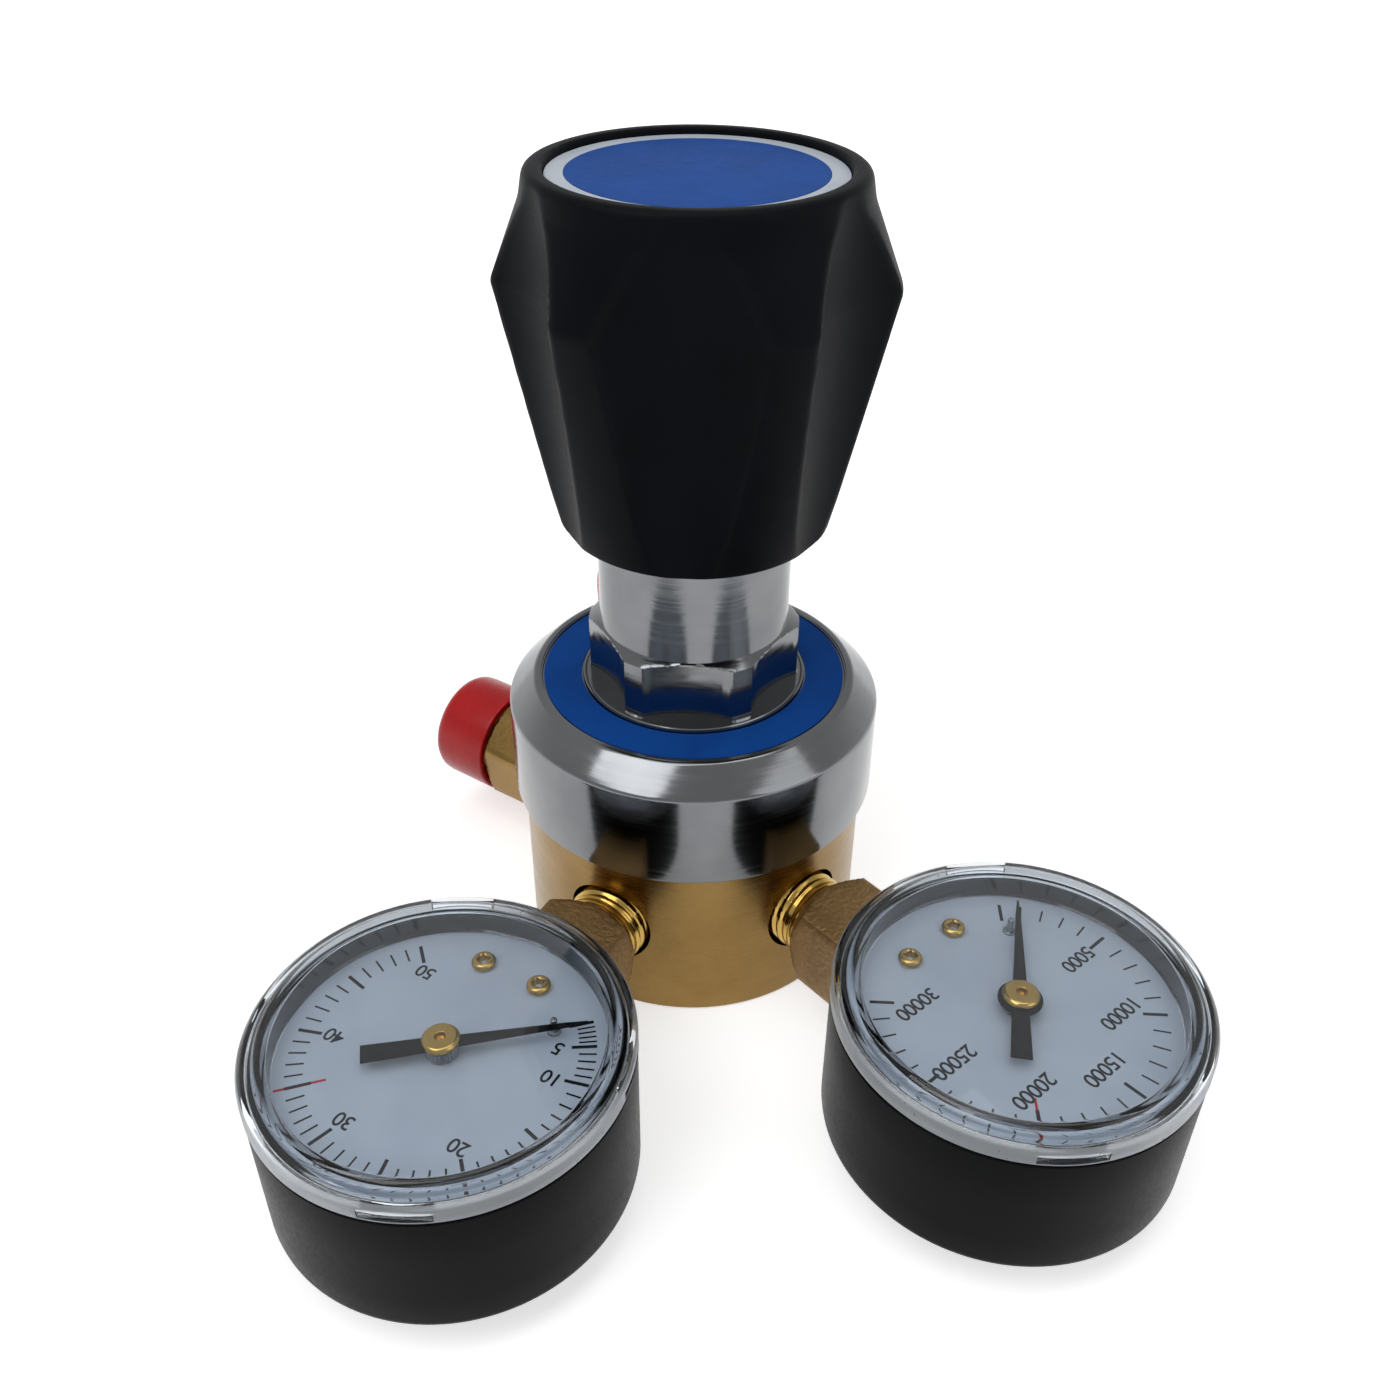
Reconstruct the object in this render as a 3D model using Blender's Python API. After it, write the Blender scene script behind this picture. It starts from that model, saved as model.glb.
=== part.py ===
# Single-stage gas pressure regulator with a flow gauge and a contents gauge.
# Metres, +Z up. Origin: centre of the brass body's flat base. Front is -Y, between the gauges.
import math

import bmesh
import bpy
from mathutils import Matrix, Vector

MM = 0.001
GAP = 0.3 * MM            # clearance between pieces that touch
RUN = 0.3 * MM            # running clearance round shafts and screws

# Brass body
BODY_R = 28.1 * MM
BODY_SHOULDER_Z = 29.0 * MM
BODY_EDGE = 0.6 * MM
NECK_R = 26.0 * MM        # threaded upper part inside the bonnet
NECK_TOP_Z = 36.4 * MM
CHAMBER_R = 20.5 * MM     # low-pressure chamber
CHAMBER_FLOOR_Z = 30.5 * MM
WELL_R = 7.0 * MM         # takes the nozzle cage
WELL_FLOOR_Z = 14.0 * MM
PORT_Z = 16.3 * MM
PASSAGE_R = 1.5 * MM
PASSAGE_AT_R = 18.0 * MM  # where the drilled passages rise into the chamber

# Diaphragm stack
DIAPHRAGM_R = 25.0 * MM
DIAPHRAGM_T = 1.2 * MM
SLIP_RING_T = 1.0 * MM
SLIP_RING_IN_R = 18.5 * MM
PLATE_R = 15.0 * MM
PLATE_T = 2.0 * MM
PLATE_BOSS_R = 7.2 * MM   # centres the main spring
PLATE_BOSS_H = 3.0 * MM

# Chromed bonnet, wrench hexagon and neck, one forging
BONNET_R = 29.6 * MM
BONNET_EDGE_Z = 45.3 * MM
BONNET_TOP_Z = 49.1 * MM
BONNET_FLAT_R = 25.4 * MM
BONNET_LIP_R = 28.9 * MM
SPRING_BORE_R = 12.0 * MM
HEX_FLATS = 30.0 * MM
HEX_CORNER_R = 16.45 * MM
HEX_TOP_Z = 58.3 * MM
HEX_CHAMFER_Z = 59.3 * MM
HEX_TURN = -99.7          # degrees, direction of one flat
STEM_R = 14.66 * MM       # plain chrome neck
THREAD_WALL = 12.0 * MM
LABEL_IN_R = 17.9 * MM
LABEL_OUT_R = 24.0 * MM
LABEL_T = 0.25 * MM

# Adjusting screw, ball, button and spring
SCREW_R = 5.7 * MM
BALL_R = 2.5 * MM
BUTTON_R = 11.4 * MM
BUTTON_T = 3.6 * MM
BUTTON_BOSS_H = 3.0 * MM
SPRING_WIRE_R = 1.3 * MM
SPRING_COIL_R = 9.6 * MM
SPRING_COILS = 6
SPRING_STEPS = 9

# Black knob
KNOB_FOOT_R = 19.9 * MM
KNOB_FOOT_Z = 76.1 * MM
KNOB_SHOULDER_R = 21.3 * MM
KNOB_SHOULDER_Z = 81.8 * MM
KNOB_WAIST_R = 27.6 * MM
KNOB_HEAD_R = 22.8 * MM
KNOB_RIM_R = 21.4 * MM
KNOB_TOP_Z = 126.3 * MM
KNOB_CROWN_H = 3.8 * MM
KNOB_HEAD_H = 14.8 * MM
KNOB_SOLID_H = 24.3 * MM  # above its cavity
SCREW_COVER = 8.3 * MM
KNOB_TRAVEL = 10.0 * MM
KNOB_HEAD_Z = KNOB_TOP_Z - KNOB_CROWN_H
KNOB_WAIST_Z = KNOB_TOP_Z - KNOB_HEAD_H
KNOB_CAVITY_TOP_Z = KNOB_TOP_Z - KNOB_SOLID_H
SCREW_TOP_Z = KNOB_TOP_Z - SCREW_COVER
STEM_TOP_Z = KNOB_CAVITY_TOP_Z - KNOB_TRAVEL
KNOB_CAVITY_R = 15.3 * MM
KNOB_LABEL_R = 20.1 * MM
KNOB_LABEL_T = 0.4 * MM
KNOB_LABEL_SINK = 0.9 * MM
FLUTES = 6
FLUTE_FACE_R = 22.4 * MM  # flute floor at the waist
FLUTE_LEAN = 0.091        # inward run per rise below the waist
FLUTE_CUT_R = 21.1 * MM
FLUTE_TURN = -100.1       # degrees, centre of the front flute

# Gauges
GAUGE_SPREAD = 34.5       # degrees each side of the front
GAUGE_DISTANCE = 69.3 * MM
CASE_R = 25.9 * MM
CASE_WALL = 2.05 * MM
CASE_STEP = 1.5 * MM      # the cover sits over this step
CASE_BACK_Z = 6.3 * MM
CASE_TOP_Z = 29.6 * MM
LENS_LIP = 0.1 * MM
LENS_R = CASE_R + LENS_LIP
LENS_SKIRT_Z = 28.6 * MM
LENS_TOP_Z = 33.0 * MM
WINDOW_T = 1.6 * MM
DIAL_MARGIN = 1.25 * MM
DIAL_R = CASE_R - CASE_WALL - DIAL_MARGIN
DIAL_TOP_Z = 27.2 * MM
DIAL_T = 0.5 * MM
DIAL_SCREW_MARGIN = 6.1 * MM
DIAL_SCREW_AT_R = DIAL_R - DIAL_SCREW_MARGIN
DIAL_SCREW_AT = 16.5      # degrees each side of the stem
DIAL_SCREW_HEAD_R = 1.7 * MM
STOP_PIN_MARGIN = 7.6 * MM
STOP_PIN_AT_R = DIAL_R - STOP_PIN_MARGIN
STOP_PIN_AT = -45.5
STOP_PIN_R = 0.5 * MM
POINTER_REST = -50.5      # degrees from the stem, seen from above
POINTER_SWEEP = 265.0
POINTER_MARGIN = 3.1 * MM
POINTER_TIP_R = DIAL_R - POINTER_MARGIN
POINTER_TAIL_R = 10.5 * MM
POINTER_Z = 29.0 * MM
POINTER_T = 0.4 * MM
POINTER_BOSS = 2.0 * MM   # half width at the arbor
POINTER_HUB_R = 2.3 * MM
ARBOR_R = 0.7 * MM
ARBOR_TOP_Z = 29.8 * MM
GEAR_MODULE = 0.3 * MM
GEAR_ADDENDUM = 0.24 * MM
GEAR_DEPTH = 0.34 * MM
TOOTH_ROOT = 0.28         # half widths of a tooth, as shares of the pitch
TOOTH_TIP = 0.12
PINION_TEETH = 10
SECTOR_FULL_TEETH = 60
SECTOR_TEETH = 11
GEAR_Z = 21.9 * MM
GEAR_T = 0.8 * MM
SECTOR_AT = 240.0         # direction of the sector's pivot from the arbor
SECTOR_TAIL = 4.0 * MM
SECTOR_TAIL_HALF = 1.2 * MM
SECTOR_HUB_R = 1.9 * MM
SECTOR_RIM = 0.7 * MM
SECTOR_WEB = 12.0         # degrees, half width of the web at the rim
MOVEMENT_LOW_Z = 20.4 * MM
MOVEMENT_HIGH_Z = 25.4 * MM
MOVEMENT_T = 0.8 * MM
MOVEMENT_HALF_W = 5.0 * MM
MOVEMENT_FRONT = 9.0 * MM
PILLAR_R = 1.0 * MM
TUBE_COIL_R = 17.3 * MM
TUBE_HALF_H = 3.4 * MM
TUBE_HALF_W = 1.1 * MM
TUBE_MID_Z = 16.0 * MM
TUBE_START = 23.0         # degrees from the stem
TUBE_END = 270.0
LINK_T = 0.5 * MM
LINK_HALF_W = 1.4 * MM
PIN_R = 0.5 * MM
PIN_RUN = 0.15 * MM
LINK_RUN = 0.35 * MM      # the link's holes are wider, since it slides where the tail swings
HAIR_TURNS = 3
HAIR_Z = 23.6 * MM
HAIR_H = 0.6 * MM
HAIR_IN_R = 1.4 * MM
HAIR_OUT_R = 4.4 * MM
HAIR_T = 0.18 * MM

# Gauge sockets
SOCKET_FLATS = 14.0 * MM
SOCKET_BLOCK_AT = 31.3 * MM
SOCKET_INNER_END = 66.0 * MM
GAUGE_THREAD_R = 6.55 * MM
GAUGE_THREAD_IN = 19.5 * MM
GAUGE_PORT_R = 7.2 * MM
SOCKET_BORE_R = 1.6 * MM
POST_R = 1.6 * MM
BACK_SCREW_R = 1.9 * MM
BACK_SCREW_AT = 14.0 * MM  # from the gauge's centre towards the body
BACK_SCREW_SPREAD = 3.8 * MM

# Inlet at the back
INLET_PORT_R = 8.0 * MM
INLET_PORT_IN = 14.0 * MM
INLET_HEX_FLATS = 22.0 * MM
INLET_HEX_END = 36.0 * MM
INLET_STEM_R = 6.4 * MM
INLET_FLANGE_R = 8.7 * MM
INLET_FLANGE_T = 3.6 * MM
INLET_NOSE_R = 6.9 * MM
INLET_NOSE_END = 80.5 * MM
INLET_BORE_R = 2.0 * MM
NUT_START = 43.0 * MM
NUT_FLATS = 27.0 * MM
NUT_HEX_END = 58.0 * MM
NUT_END = 76.0 * MM
NUT_SHOULDER = 60.0 * MM
INLET_THREAD_R = 11.2 * MM
INLET_CAP_R = 13.0 * MM
INLET_CAP_END = 85.0 * MM
CAP_ROUND = 2.0 * MM
RING_AT = 73.0 * MM
RING_WIRE_R = 1.0 * MM

# Outlet at the back left
OUTLET_AZIMUTH = 139.7
OUTLET_HEX_FLATS = 17.0 * MM
OUTLET_HEX_END = 40.4 * MM
OUTLET_HEX_TURN = 21.0    # degrees
OUTLET_THREAD_R = 7.9 * MM
OUTLET_END = 50.2 * MM
OUTLET_BORE_R = 3.2 * MM
OUTLET_CAP_R = 9.5 * MM
OUTLET_CAP_END = 52.1 * MM
CAP_WALL = 1.3 * MM

# Nozzle cage and valve
CAGE_TOP_Z = 29.5 * MM
CAGE_CAVITY_R = 4.6 * MM
NOZZLE_R = 1.6 * MM
NOZZLE_T = 2.4 * MM
PIN_VALVE_R = 0.9 * MM
POPPET_R = 3.2 * MM
POPPET_H = 4.0 * MM
VALVE_SPRING_WIRE_R = 0.45 * MM
VALVE_SPRING_COIL_R = 2.6 * MM
VALVE_SPRING_COILS = 4

ROUND_LARGE = 32
ROUND_MEDIUM = 16
ROUND_SMALL = 10
ROUND_PIN = 6
ROUND_CAP = 20
ROUND_KNOB = 36


# Scene helpers
def clear_scene():
    for obj in list(bpy.data.objects):
        bpy.data.objects.remove(obj, do_unlink=True)


def material(name, colour, roughness, metallic=0.0, alpha=1.0):
    mat = bpy.data.materials.new(name)
    mat.use_nodes = True
    shader = mat.node_tree.nodes["Principled BSDF"]
    shader.inputs["Base Color"].default_value = (*colour, 1.0)
    shader.inputs["Roughness"].default_value = roughness
    shader.inputs["Metallic"].default_value = metallic
    shader.inputs["Alpha"].default_value = alpha
    return mat


def polish(mesh):
    mesh.shade_smooth()
    mesh.set_sharp_from_angle(angle=math.radians(32))


def add_object(name, bm, mat=None, frame=None, place=None):
    bmesh.ops.recalc_face_normals(bm, faces=bm.faces)
    mesh = bpy.data.meshes.new(name)
    bm.to_mesh(mesh)
    bm.free()
    polish(mesh)
    obj = bpy.data.objects.new(name, mesh)
    bpy.context.scene.collection.objects.link(obj)
    if mat is not None:
        mesh.materials.append(mat)
    obj.matrix_world = (frame or Matrix()) @ (place or Matrix())
    return obj


def boolean(target, cutter, operation="DIFFERENCE", keep=False):
    bpy.context.view_layer.update()
    step = target.modifiers.new(operation.lower(), "BOOLEAN")
    step.operation = operation
    step.solver = "EXACT"
    step.object = cutter
    graph = bpy.context.evaluated_depsgraph_get()
    mesh = bpy.data.meshes.new_from_object(target.evaluated_get(graph))
    target.modifiers.clear()
    old = target.data
    mats = [m for m in old.materials if m]
    target.data = mesh
    mesh.materials.clear()
    for mat in mats:
        mesh.materials.append(mat)
    for face in mesh.polygons:
        face.material_index = 0
    mesh.name = target.name
    bpy.data.meshes.remove(old)
    polish(mesh)
    if not keep:
        bpy.data.objects.remove(cutter, do_unlink=True)
    return target


# Shape helpers
def turned(bm, profile, steps):
    """Spin (radius, height) points about Z. A profile that starts and ends on the axis closes
    itself; any other is joined from its last point to its first."""
    on_axis = profile[0][0] == 0.0 and profile[-1][0] == 0.0
    verts = [bm.verts.new((r, 0.0, z)) for r, z in profile]
    pairs = list(zip(verts, verts[1:]))
    if not on_axis:
        pairs.append((verts[-1], verts[0]))
    edges = [bm.edges.new(pair) for pair in pairs]
    bmesh.ops.spin(bm, geom=verts + edges, cent=(0, 0, 0), axis=(0, 0, 1), angle=2 * math.pi,
                   steps=steps, use_merge=True, use_duplicate=False)
    bmesh.ops.remove_doubles(bm, verts=bm.verts, dist=1e-7)
    return bm


def revolve(name, profile, steps, mat=None, frame=None, place=None):
    return add_object(name, turned(bmesh.new(), profile, steps), mat, frame, place)


def cylinder(radius, low, high):
    return [(0.0, low), (radius, low), (radius, high), (0.0, high)]


def extruded(bm, outline, low, high):
    """Extrude a closed outline of (x, y) points from one height to another."""
    face = bm.faces.new([bm.verts.new((x, y, low)) for x, y in outline])
    rise = bmesh.ops.extrude_face_region(bm, geom=[face])
    moved = [v for v in rise["geom"] if isinstance(v, bmesh.types.BMVert)]
    bmesh.ops.translate(bm, vec=(0, 0, high - low), verts=moved)
    return bm


def prism(name, outline, low, high, mat=None, frame=None, place=None):
    return add_object(name, extruded(bmesh.new(), outline, low, high), mat, frame, place)


def ring_points(radius, count, start=0.0, sweep=360.0, centre=(0.0, 0.0), closed=True):
    spans = count if closed else count - 1
    angles = [math.radians(start + sweep * i / spans) for i in range(count)]
    return [(centre[0] + radius * math.cos(a), centre[1] + radius * math.sin(a)) for a in angles]


def hexagon(flats, turn=0.0):
    """Corners of a hexagon whose first flat faces the angle turn."""
    return ring_points(flats / 2 / math.cos(math.pi / 6), 6, start=turn + 30.0)


def arc(radius, centre_r, centre_z, start, end, count):
    """Profile points on a rounded edge, as (radius, height)."""
    angles = [math.radians(start + (end - start) * i / (count - 1)) for i in range(count)]
    return [(centre_r + radius * math.cos(a), centre_z + radius * math.sin(a)) for a in angles]


def swept(bm, path, section):
    """Loft a closed section along a path of (point, outward, up) frames, with filled ends."""
    rings = []
    for point, outward, up in path:
        rings.append([bm.verts.new(point + outward * a + up * b) for a, b in section])
    count = len(section)
    for low, high in zip(rings, rings[1:]):
        for i in range(count):
            j = (i + 1) % count
            bm.faces.new((low[i], low[j], high[j], high[i]))
    bm.faces.new(list(reversed(rings[0])))
    bm.faces.new(rings[-1])
    return bm


def helix(bm, coil_r, wire_r, low, high, coils, steps, sides):
    """A coil spring whose end coils lie flat, as ground springs do."""
    total = coils * steps
    path = []
    for i in range(total + 1):
        turn = i / steps
        active = min(max((turn - 1.0) / (coils - 2.0), 0.0), 1.0)
        flat = 2.1 * wire_r
        rise = flat * min(turn, 1.0) + flat * max(turn - (coils - 1.0), 0.0)
        height = low + wire_r + rise + active * (high - low - 2 * wire_r - 2 * flat)
        angle = 2 * math.pi * turn
        outward = Vector((math.cos(angle), math.sin(angle), 0))
        path.append((outward * coil_r + Vector((0, 0, height)), outward, Vector((0, 0, 1))))
    return swept(bm, path, ring_points(wire_r, sides))


def port_frame(azimuth):
    """The matrix whose Z points out of the body at the azimuth, with X up."""
    angle = math.radians(azimuth)
    out = Vector((math.cos(angle), math.sin(angle), 0))
    up = Vector((0, 0, 1))
    side = out.cross(up)
    matrix = Matrix((up, side, out)).transposed().to_4x4()
    matrix.translation = Vector((0, 0, PORT_Z))
    return matrix


def turn_z(degrees, at=(0.0, 0.0, 0.0)):
    return Matrix.Translation(at) @ Matrix.Rotation(math.radians(degrees), 4, "Z")


# Materials
BRASS = (0.60, 0.40, 0.14)
CHROME = (0.72, 0.73, 0.74)
STEEL = (0.55, 0.56, 0.57)
BLACK = (0.012, 0.013, 0.016)
RED = (0.62, 0.01, 0.012)
BLUE = (0.02, 0.09, 0.36)
WHITE = (0.80, 0.84, 0.90)
CLEAR = (0.92, 0.95, 0.97)


def brass(name):
    return material(name, BRASS, 0.35, 1.0)


def steel(name):
    return material(name, STEEL, 0.3, 1.0)


# Body, valve and diaphragm
def build_body(frames):
    profile = [
        (0.0, 0.0), (BODY_R - BODY_EDGE, 0.0), (BODY_R, BODY_EDGE),
        (BODY_R, BODY_SHOULDER_Z - BODY_EDGE), (BODY_R - BODY_EDGE, BODY_SHOULDER_Z),
        (NECK_R, BODY_SHOULDER_Z), (NECK_R, NECK_TOP_Z - BODY_EDGE),
        (NECK_R - BODY_EDGE, NECK_TOP_Z), (CHAMBER_R, NECK_TOP_Z),
        (CHAMBER_R, CHAMBER_FLOOR_Z), (WELL_R, CHAMBER_FLOOR_Z), (WELL_R, WELL_FLOOR_Z),
        (0.0, WELL_FLOOR_Z)]
    body = revolve("body", profile, ROUND_LARGE, brass("body_brass"))
    reach = BODY_R + 2 * MM
    ports = [(frames["flow"], GAUGE_PORT_R, GAUGE_THREAD_IN - GAP),
             (frames["contents"], GAUGE_PORT_R, GAUGE_THREAD_IN - GAP),
             (frames["inlet"], INLET_PORT_R + GAP, INLET_PORT_IN - GAP),
             (frames["outlet"], GAUGE_PORT_R, GAUGE_THREAD_IN - GAP)]
    for frame, radius, depth in ports:
        boolean(body, revolve("drill", cylinder(radius, depth, reach), ROUND_MEDIUM, frame=frame))
    for frame in (frames["flow"], frames["outlet"]):
        pilot = cylinder(PASSAGE_R + 0.4 * MM, PASSAGE_AT_R - PASSAGE_R - MM, GAUGE_THREAD_IN + MM)
        boolean(body, revolve("drill", pilot, ROUND_PIN, frame=frame))
        rise = Matrix.Rotation(math.radians(90), 4, "Y")
        rise.translation = Vector((0, 0, PASSAGE_AT_R))
        low, high = 0.0, CHAMBER_FLOOR_Z - PORT_Z + MM
        boolean(body, revolve("drill", cylinder(PASSAGE_R, low, high), ROUND_PIN, frame=frame,
                              place=rise))
    for frame in (frames["contents"], frames["inlet"]):
        boolean(body, revolve("drill", cylinder(PASSAGE_R, WELL_R - MM, GAUGE_THREAD_IN + MM),
                              ROUND_PIN, frame=frame))
    return body


def build_valve():
    ceiling = CAGE_TOP_Z - NOZZLE_T
    foot = WELL_FLOOR_Z + GAP
    cage_r = WELL_R - GAP
    profile = [(NOZZLE_R, CAGE_TOP_Z), (cage_r, CAGE_TOP_Z), (cage_r, foot),
               (CAGE_CAVITY_R, foot), (CAGE_CAVITY_R, ceiling), (NOZZLE_R, ceiling)]
    cage = revolve("nozzle_cage", profile, ROUND_MEDIUM, brass("nozzle_brass"))
    for frame_turn in (90.0, -90.0 + GAUGE_SPREAD):
        angle = math.radians(frame_turn)
        tilt = Matrix.Rotation(math.radians(90), 4, "Y")
        place = Matrix.Translation((0, 0, PORT_Z)) @ Matrix.Rotation(angle, 4, "Z") @ tilt
        boolean(cage, revolve("drill", cylinder(PASSAGE_R, CAGE_CAVITY_R - MM, WELL_R + MM),
                              ROUND_PIN, place=place))
    poppet_top = ceiling - GAP
    pin_top = NECK_TOP_Z
    shoulder = poppet_top - 0.8 * MM
    stem = [(0.0, pin_top), (PIN_VALVE_R, pin_top), (PIN_VALVE_R, shoulder),
            (POPPET_R, shoulder), (POPPET_R, poppet_top - POPPET_H),
            (2.0 * MM, poppet_top - POPPET_H), (2.0 * MM, poppet_top - POPPET_H - 1.5 * MM),
            (0.0, poppet_top - POPPET_H - 1.5 * MM)]
    revolve("valve_poppet", stem, ROUND_SMALL, brass("poppet_brass"))
    seat = [(PIN_VALVE_R + 0.3 * MM, poppet_top), (2.6 * MM, poppet_top),
            (2.6 * MM, shoulder + GAP), (PIN_VALVE_R + 0.3 * MM, shoulder + GAP)]
    revolve("valve_seat", seat, ROUND_SMALL, material("seat_nylon", (0.8, 0.78, 0.7), 0.5))
    bm = helix(bmesh.new(), VALVE_SPRING_COIL_R, VALVE_SPRING_WIRE_R, foot + GAP,
               poppet_top - POPPET_H - GAP, VALVE_SPRING_COILS, 8, 4)
    add_object("valve_spring", bm, steel("valve_spring_steel"))


def build_diaphragm():
    low = NECK_TOP_Z + GAP
    high = low + DIAPHRAGM_T
    revolve("diaphragm", cylinder(DIAPHRAGM_R, low, high), ROUND_MEDIUM,
            material("diaphragm_rubber", (0.03, 0.03, 0.03), 0.7))
    ring_low = high + GAP
    ring_high = ring_low + SLIP_RING_T
    ring = [(SLIP_RING_IN_R, ring_low), (DIAPHRAGM_R, ring_low), (DIAPHRAGM_R, ring_high),
            (SLIP_RING_IN_R, ring_high)]
    revolve("slip_ring", ring, ROUND_MEDIUM, steel("slip_ring_steel"))
    plate_top = ring_low + PLATE_T
    boss_top = plate_top + PLATE_BOSS_H
    plate = [(0.0, boss_top), (PLATE_BOSS_R, boss_top), (PLATE_BOSS_R, plate_top),
             (PLATE_R, plate_top), (PLATE_R, ring_low), (0.0, ring_low)]
    revolve("diaphragm_plate", plate, ROUND_MEDIUM, material("plate_aluminium", STEEL, 0.4, 1.0))
    return ring_high, plate_top


def build_bonnet(ring_high):
    seat = ring_high + GAP
    skirt_in = NECK_R + GAP
    foot = BODY_SHOULDER_Z + 0.2 * MM
    spring_top = STEM_TOP_Z - THREAD_WALL
    recess = BONNET_TOP_Z - LABEL_T - GAP
    outer = [(BONNET_R - BODY_EDGE, foot), (BONNET_R, foot + BODY_EDGE),
             (BONNET_R, BONNET_EDGE_Z - 0.4 * MM), (BONNET_R - 0.4 * MM, BONNET_EDGE_Z),
             (BONNET_LIP_R, BONNET_EDGE_Z + 0.5 * MM), (BONNET_FLAT_R, BONNET_TOP_Z),
             (LABEL_OUT_R + GAP, BONNET_TOP_Z), (LABEL_OUT_R + GAP, recess),
             (LABEL_IN_R - GAP, recess), (LABEL_IN_R - GAP, BONNET_TOP_Z), (STEM_R, BONNET_TOP_Z),
             (STEM_R, STEM_TOP_Z - BODY_EDGE), (STEM_R - BODY_EDGE, STEM_TOP_Z)]
    inner = [(SCREW_R + RUN, STEM_TOP_Z), (SCREW_R + RUN, spring_top),
             (SPRING_BORE_R, spring_top), (SPRING_BORE_R, seat + 6 * MM),
             (SLIP_RING_IN_R, seat + 1.5 * MM), (SLIP_RING_IN_R, seat), (skirt_in, seat),
             (skirt_in, foot)]
    bonnet = revolve("bonnet", outer + inner, ROUND_LARGE,
                     material("bonnet_chrome", CHROME, 0.12, 1.0))
    nut = prism("hex", hexagon(HEX_FLATS, HEX_TURN),
                BONNET_TOP_Z - 0.2 * MM, HEX_CHAMFER_Z)
    inside = STEM_R - 0.8 * MM
    corners = [(0.0, BONNET_TOP_Z - MM), (HEX_CORNER_R, BONNET_TOP_Z - MM),
               (HEX_CORNER_R, HEX_TOP_Z), (STEM_R + 0.02 * MM, HEX_CHAMFER_Z - 0.05 * MM),
               (0.0, HEX_CHAMFER_Z - 0.05 * MM)]
    boolean(nut, revolve("round", corners, ROUND_LARGE), "INTERSECT")
    boolean(nut, revolve("bore", cylinder(inside, BONNET_TOP_Z - 2 * MM, HEX_CHAMFER_Z + MM),
                         ROUND_MEDIUM))
    boolean(bonnet, nut, "UNION")
    label_low = recess + GAP
    label = [(LABEL_IN_R, label_low), (LABEL_OUT_R, label_low), (LABEL_OUT_R, label_low + LABEL_T),
             (LABEL_IN_R, label_low + LABEL_T)]
    revolve("bonnet_label", label, ROUND_LARGE, material("ring_label_blue", BLUE, 0.3))
    return spring_top


# Knob and adjusting screw
def build_adjuster(spring_top, plate_top):
    button_top = spring_top - GAP
    cup = 0.9 * MM
    button_low = button_top - BUTTON_T
    button = [(0.0, button_top - cup), (BALL_R * 0.85, button_top - cup * 0.45),
              (SCREW_R, button_top), (BUTTON_R, button_top), (BUTTON_R, button_low),
              (PLATE_BOSS_R, button_low), (PLATE_BOSS_R - 0.6 * MM, button_low - BUTTON_BOSS_H),
              (0.0, button_low - BUTTON_BOSS_H)]
    revolve("spring_button", button, ROUND_MEDIUM, steel("button_steel"))
    ball_z = button_top - cup + GAP + BALL_R
    bm = bmesh.new()
    bmesh.ops.create_icosphere(bm, subdivisions=2, radius=BALL_R)
    bmesh.ops.translate(bm, vec=(0, 0, ball_z), verts=bm.verts)
    add_object("thrust_ball", bm, steel("ball_steel"))
    tip = ball_z + BALL_R + GAP
    screw = [(0.0, tip), (SCREW_R - MM, tip), (SCREW_R, tip + MM), (SCREW_R, SCREW_TOP_Z),
             (0.0, SCREW_TOP_Z)]
    revolve("adjusting_screw", screw, ROUND_SMALL, steel("screw_steel"))
    bm = helix(bmesh.new(), SPRING_COIL_R, SPRING_WIRE_R, plate_top + GAP, button_low - GAP,
               SPRING_COILS, SPRING_STEPS, 5)
    add_object("main_spring", bm, steel("main_spring_steel"))


def flute_section(centre_r, height, direction):
    """Points of one flute cutter at a height: the arc that faces the axis and a back chord."""
    reach = 64.0
    cut = ring_points(FLUTE_CUT_R, 8, start=180.0 - reach, sweep=2 * reach,
                      centre=(centre_r, 0.0), closed=False)
    angle = math.radians(direction)
    turned_points = []
    for x, y in cut:
        turned_points.append(Vector((x * math.cos(angle) - y * math.sin(angle),
                                     x * math.sin(angle) + y * math.cos(angle), height)))
    return turned_points


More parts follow.
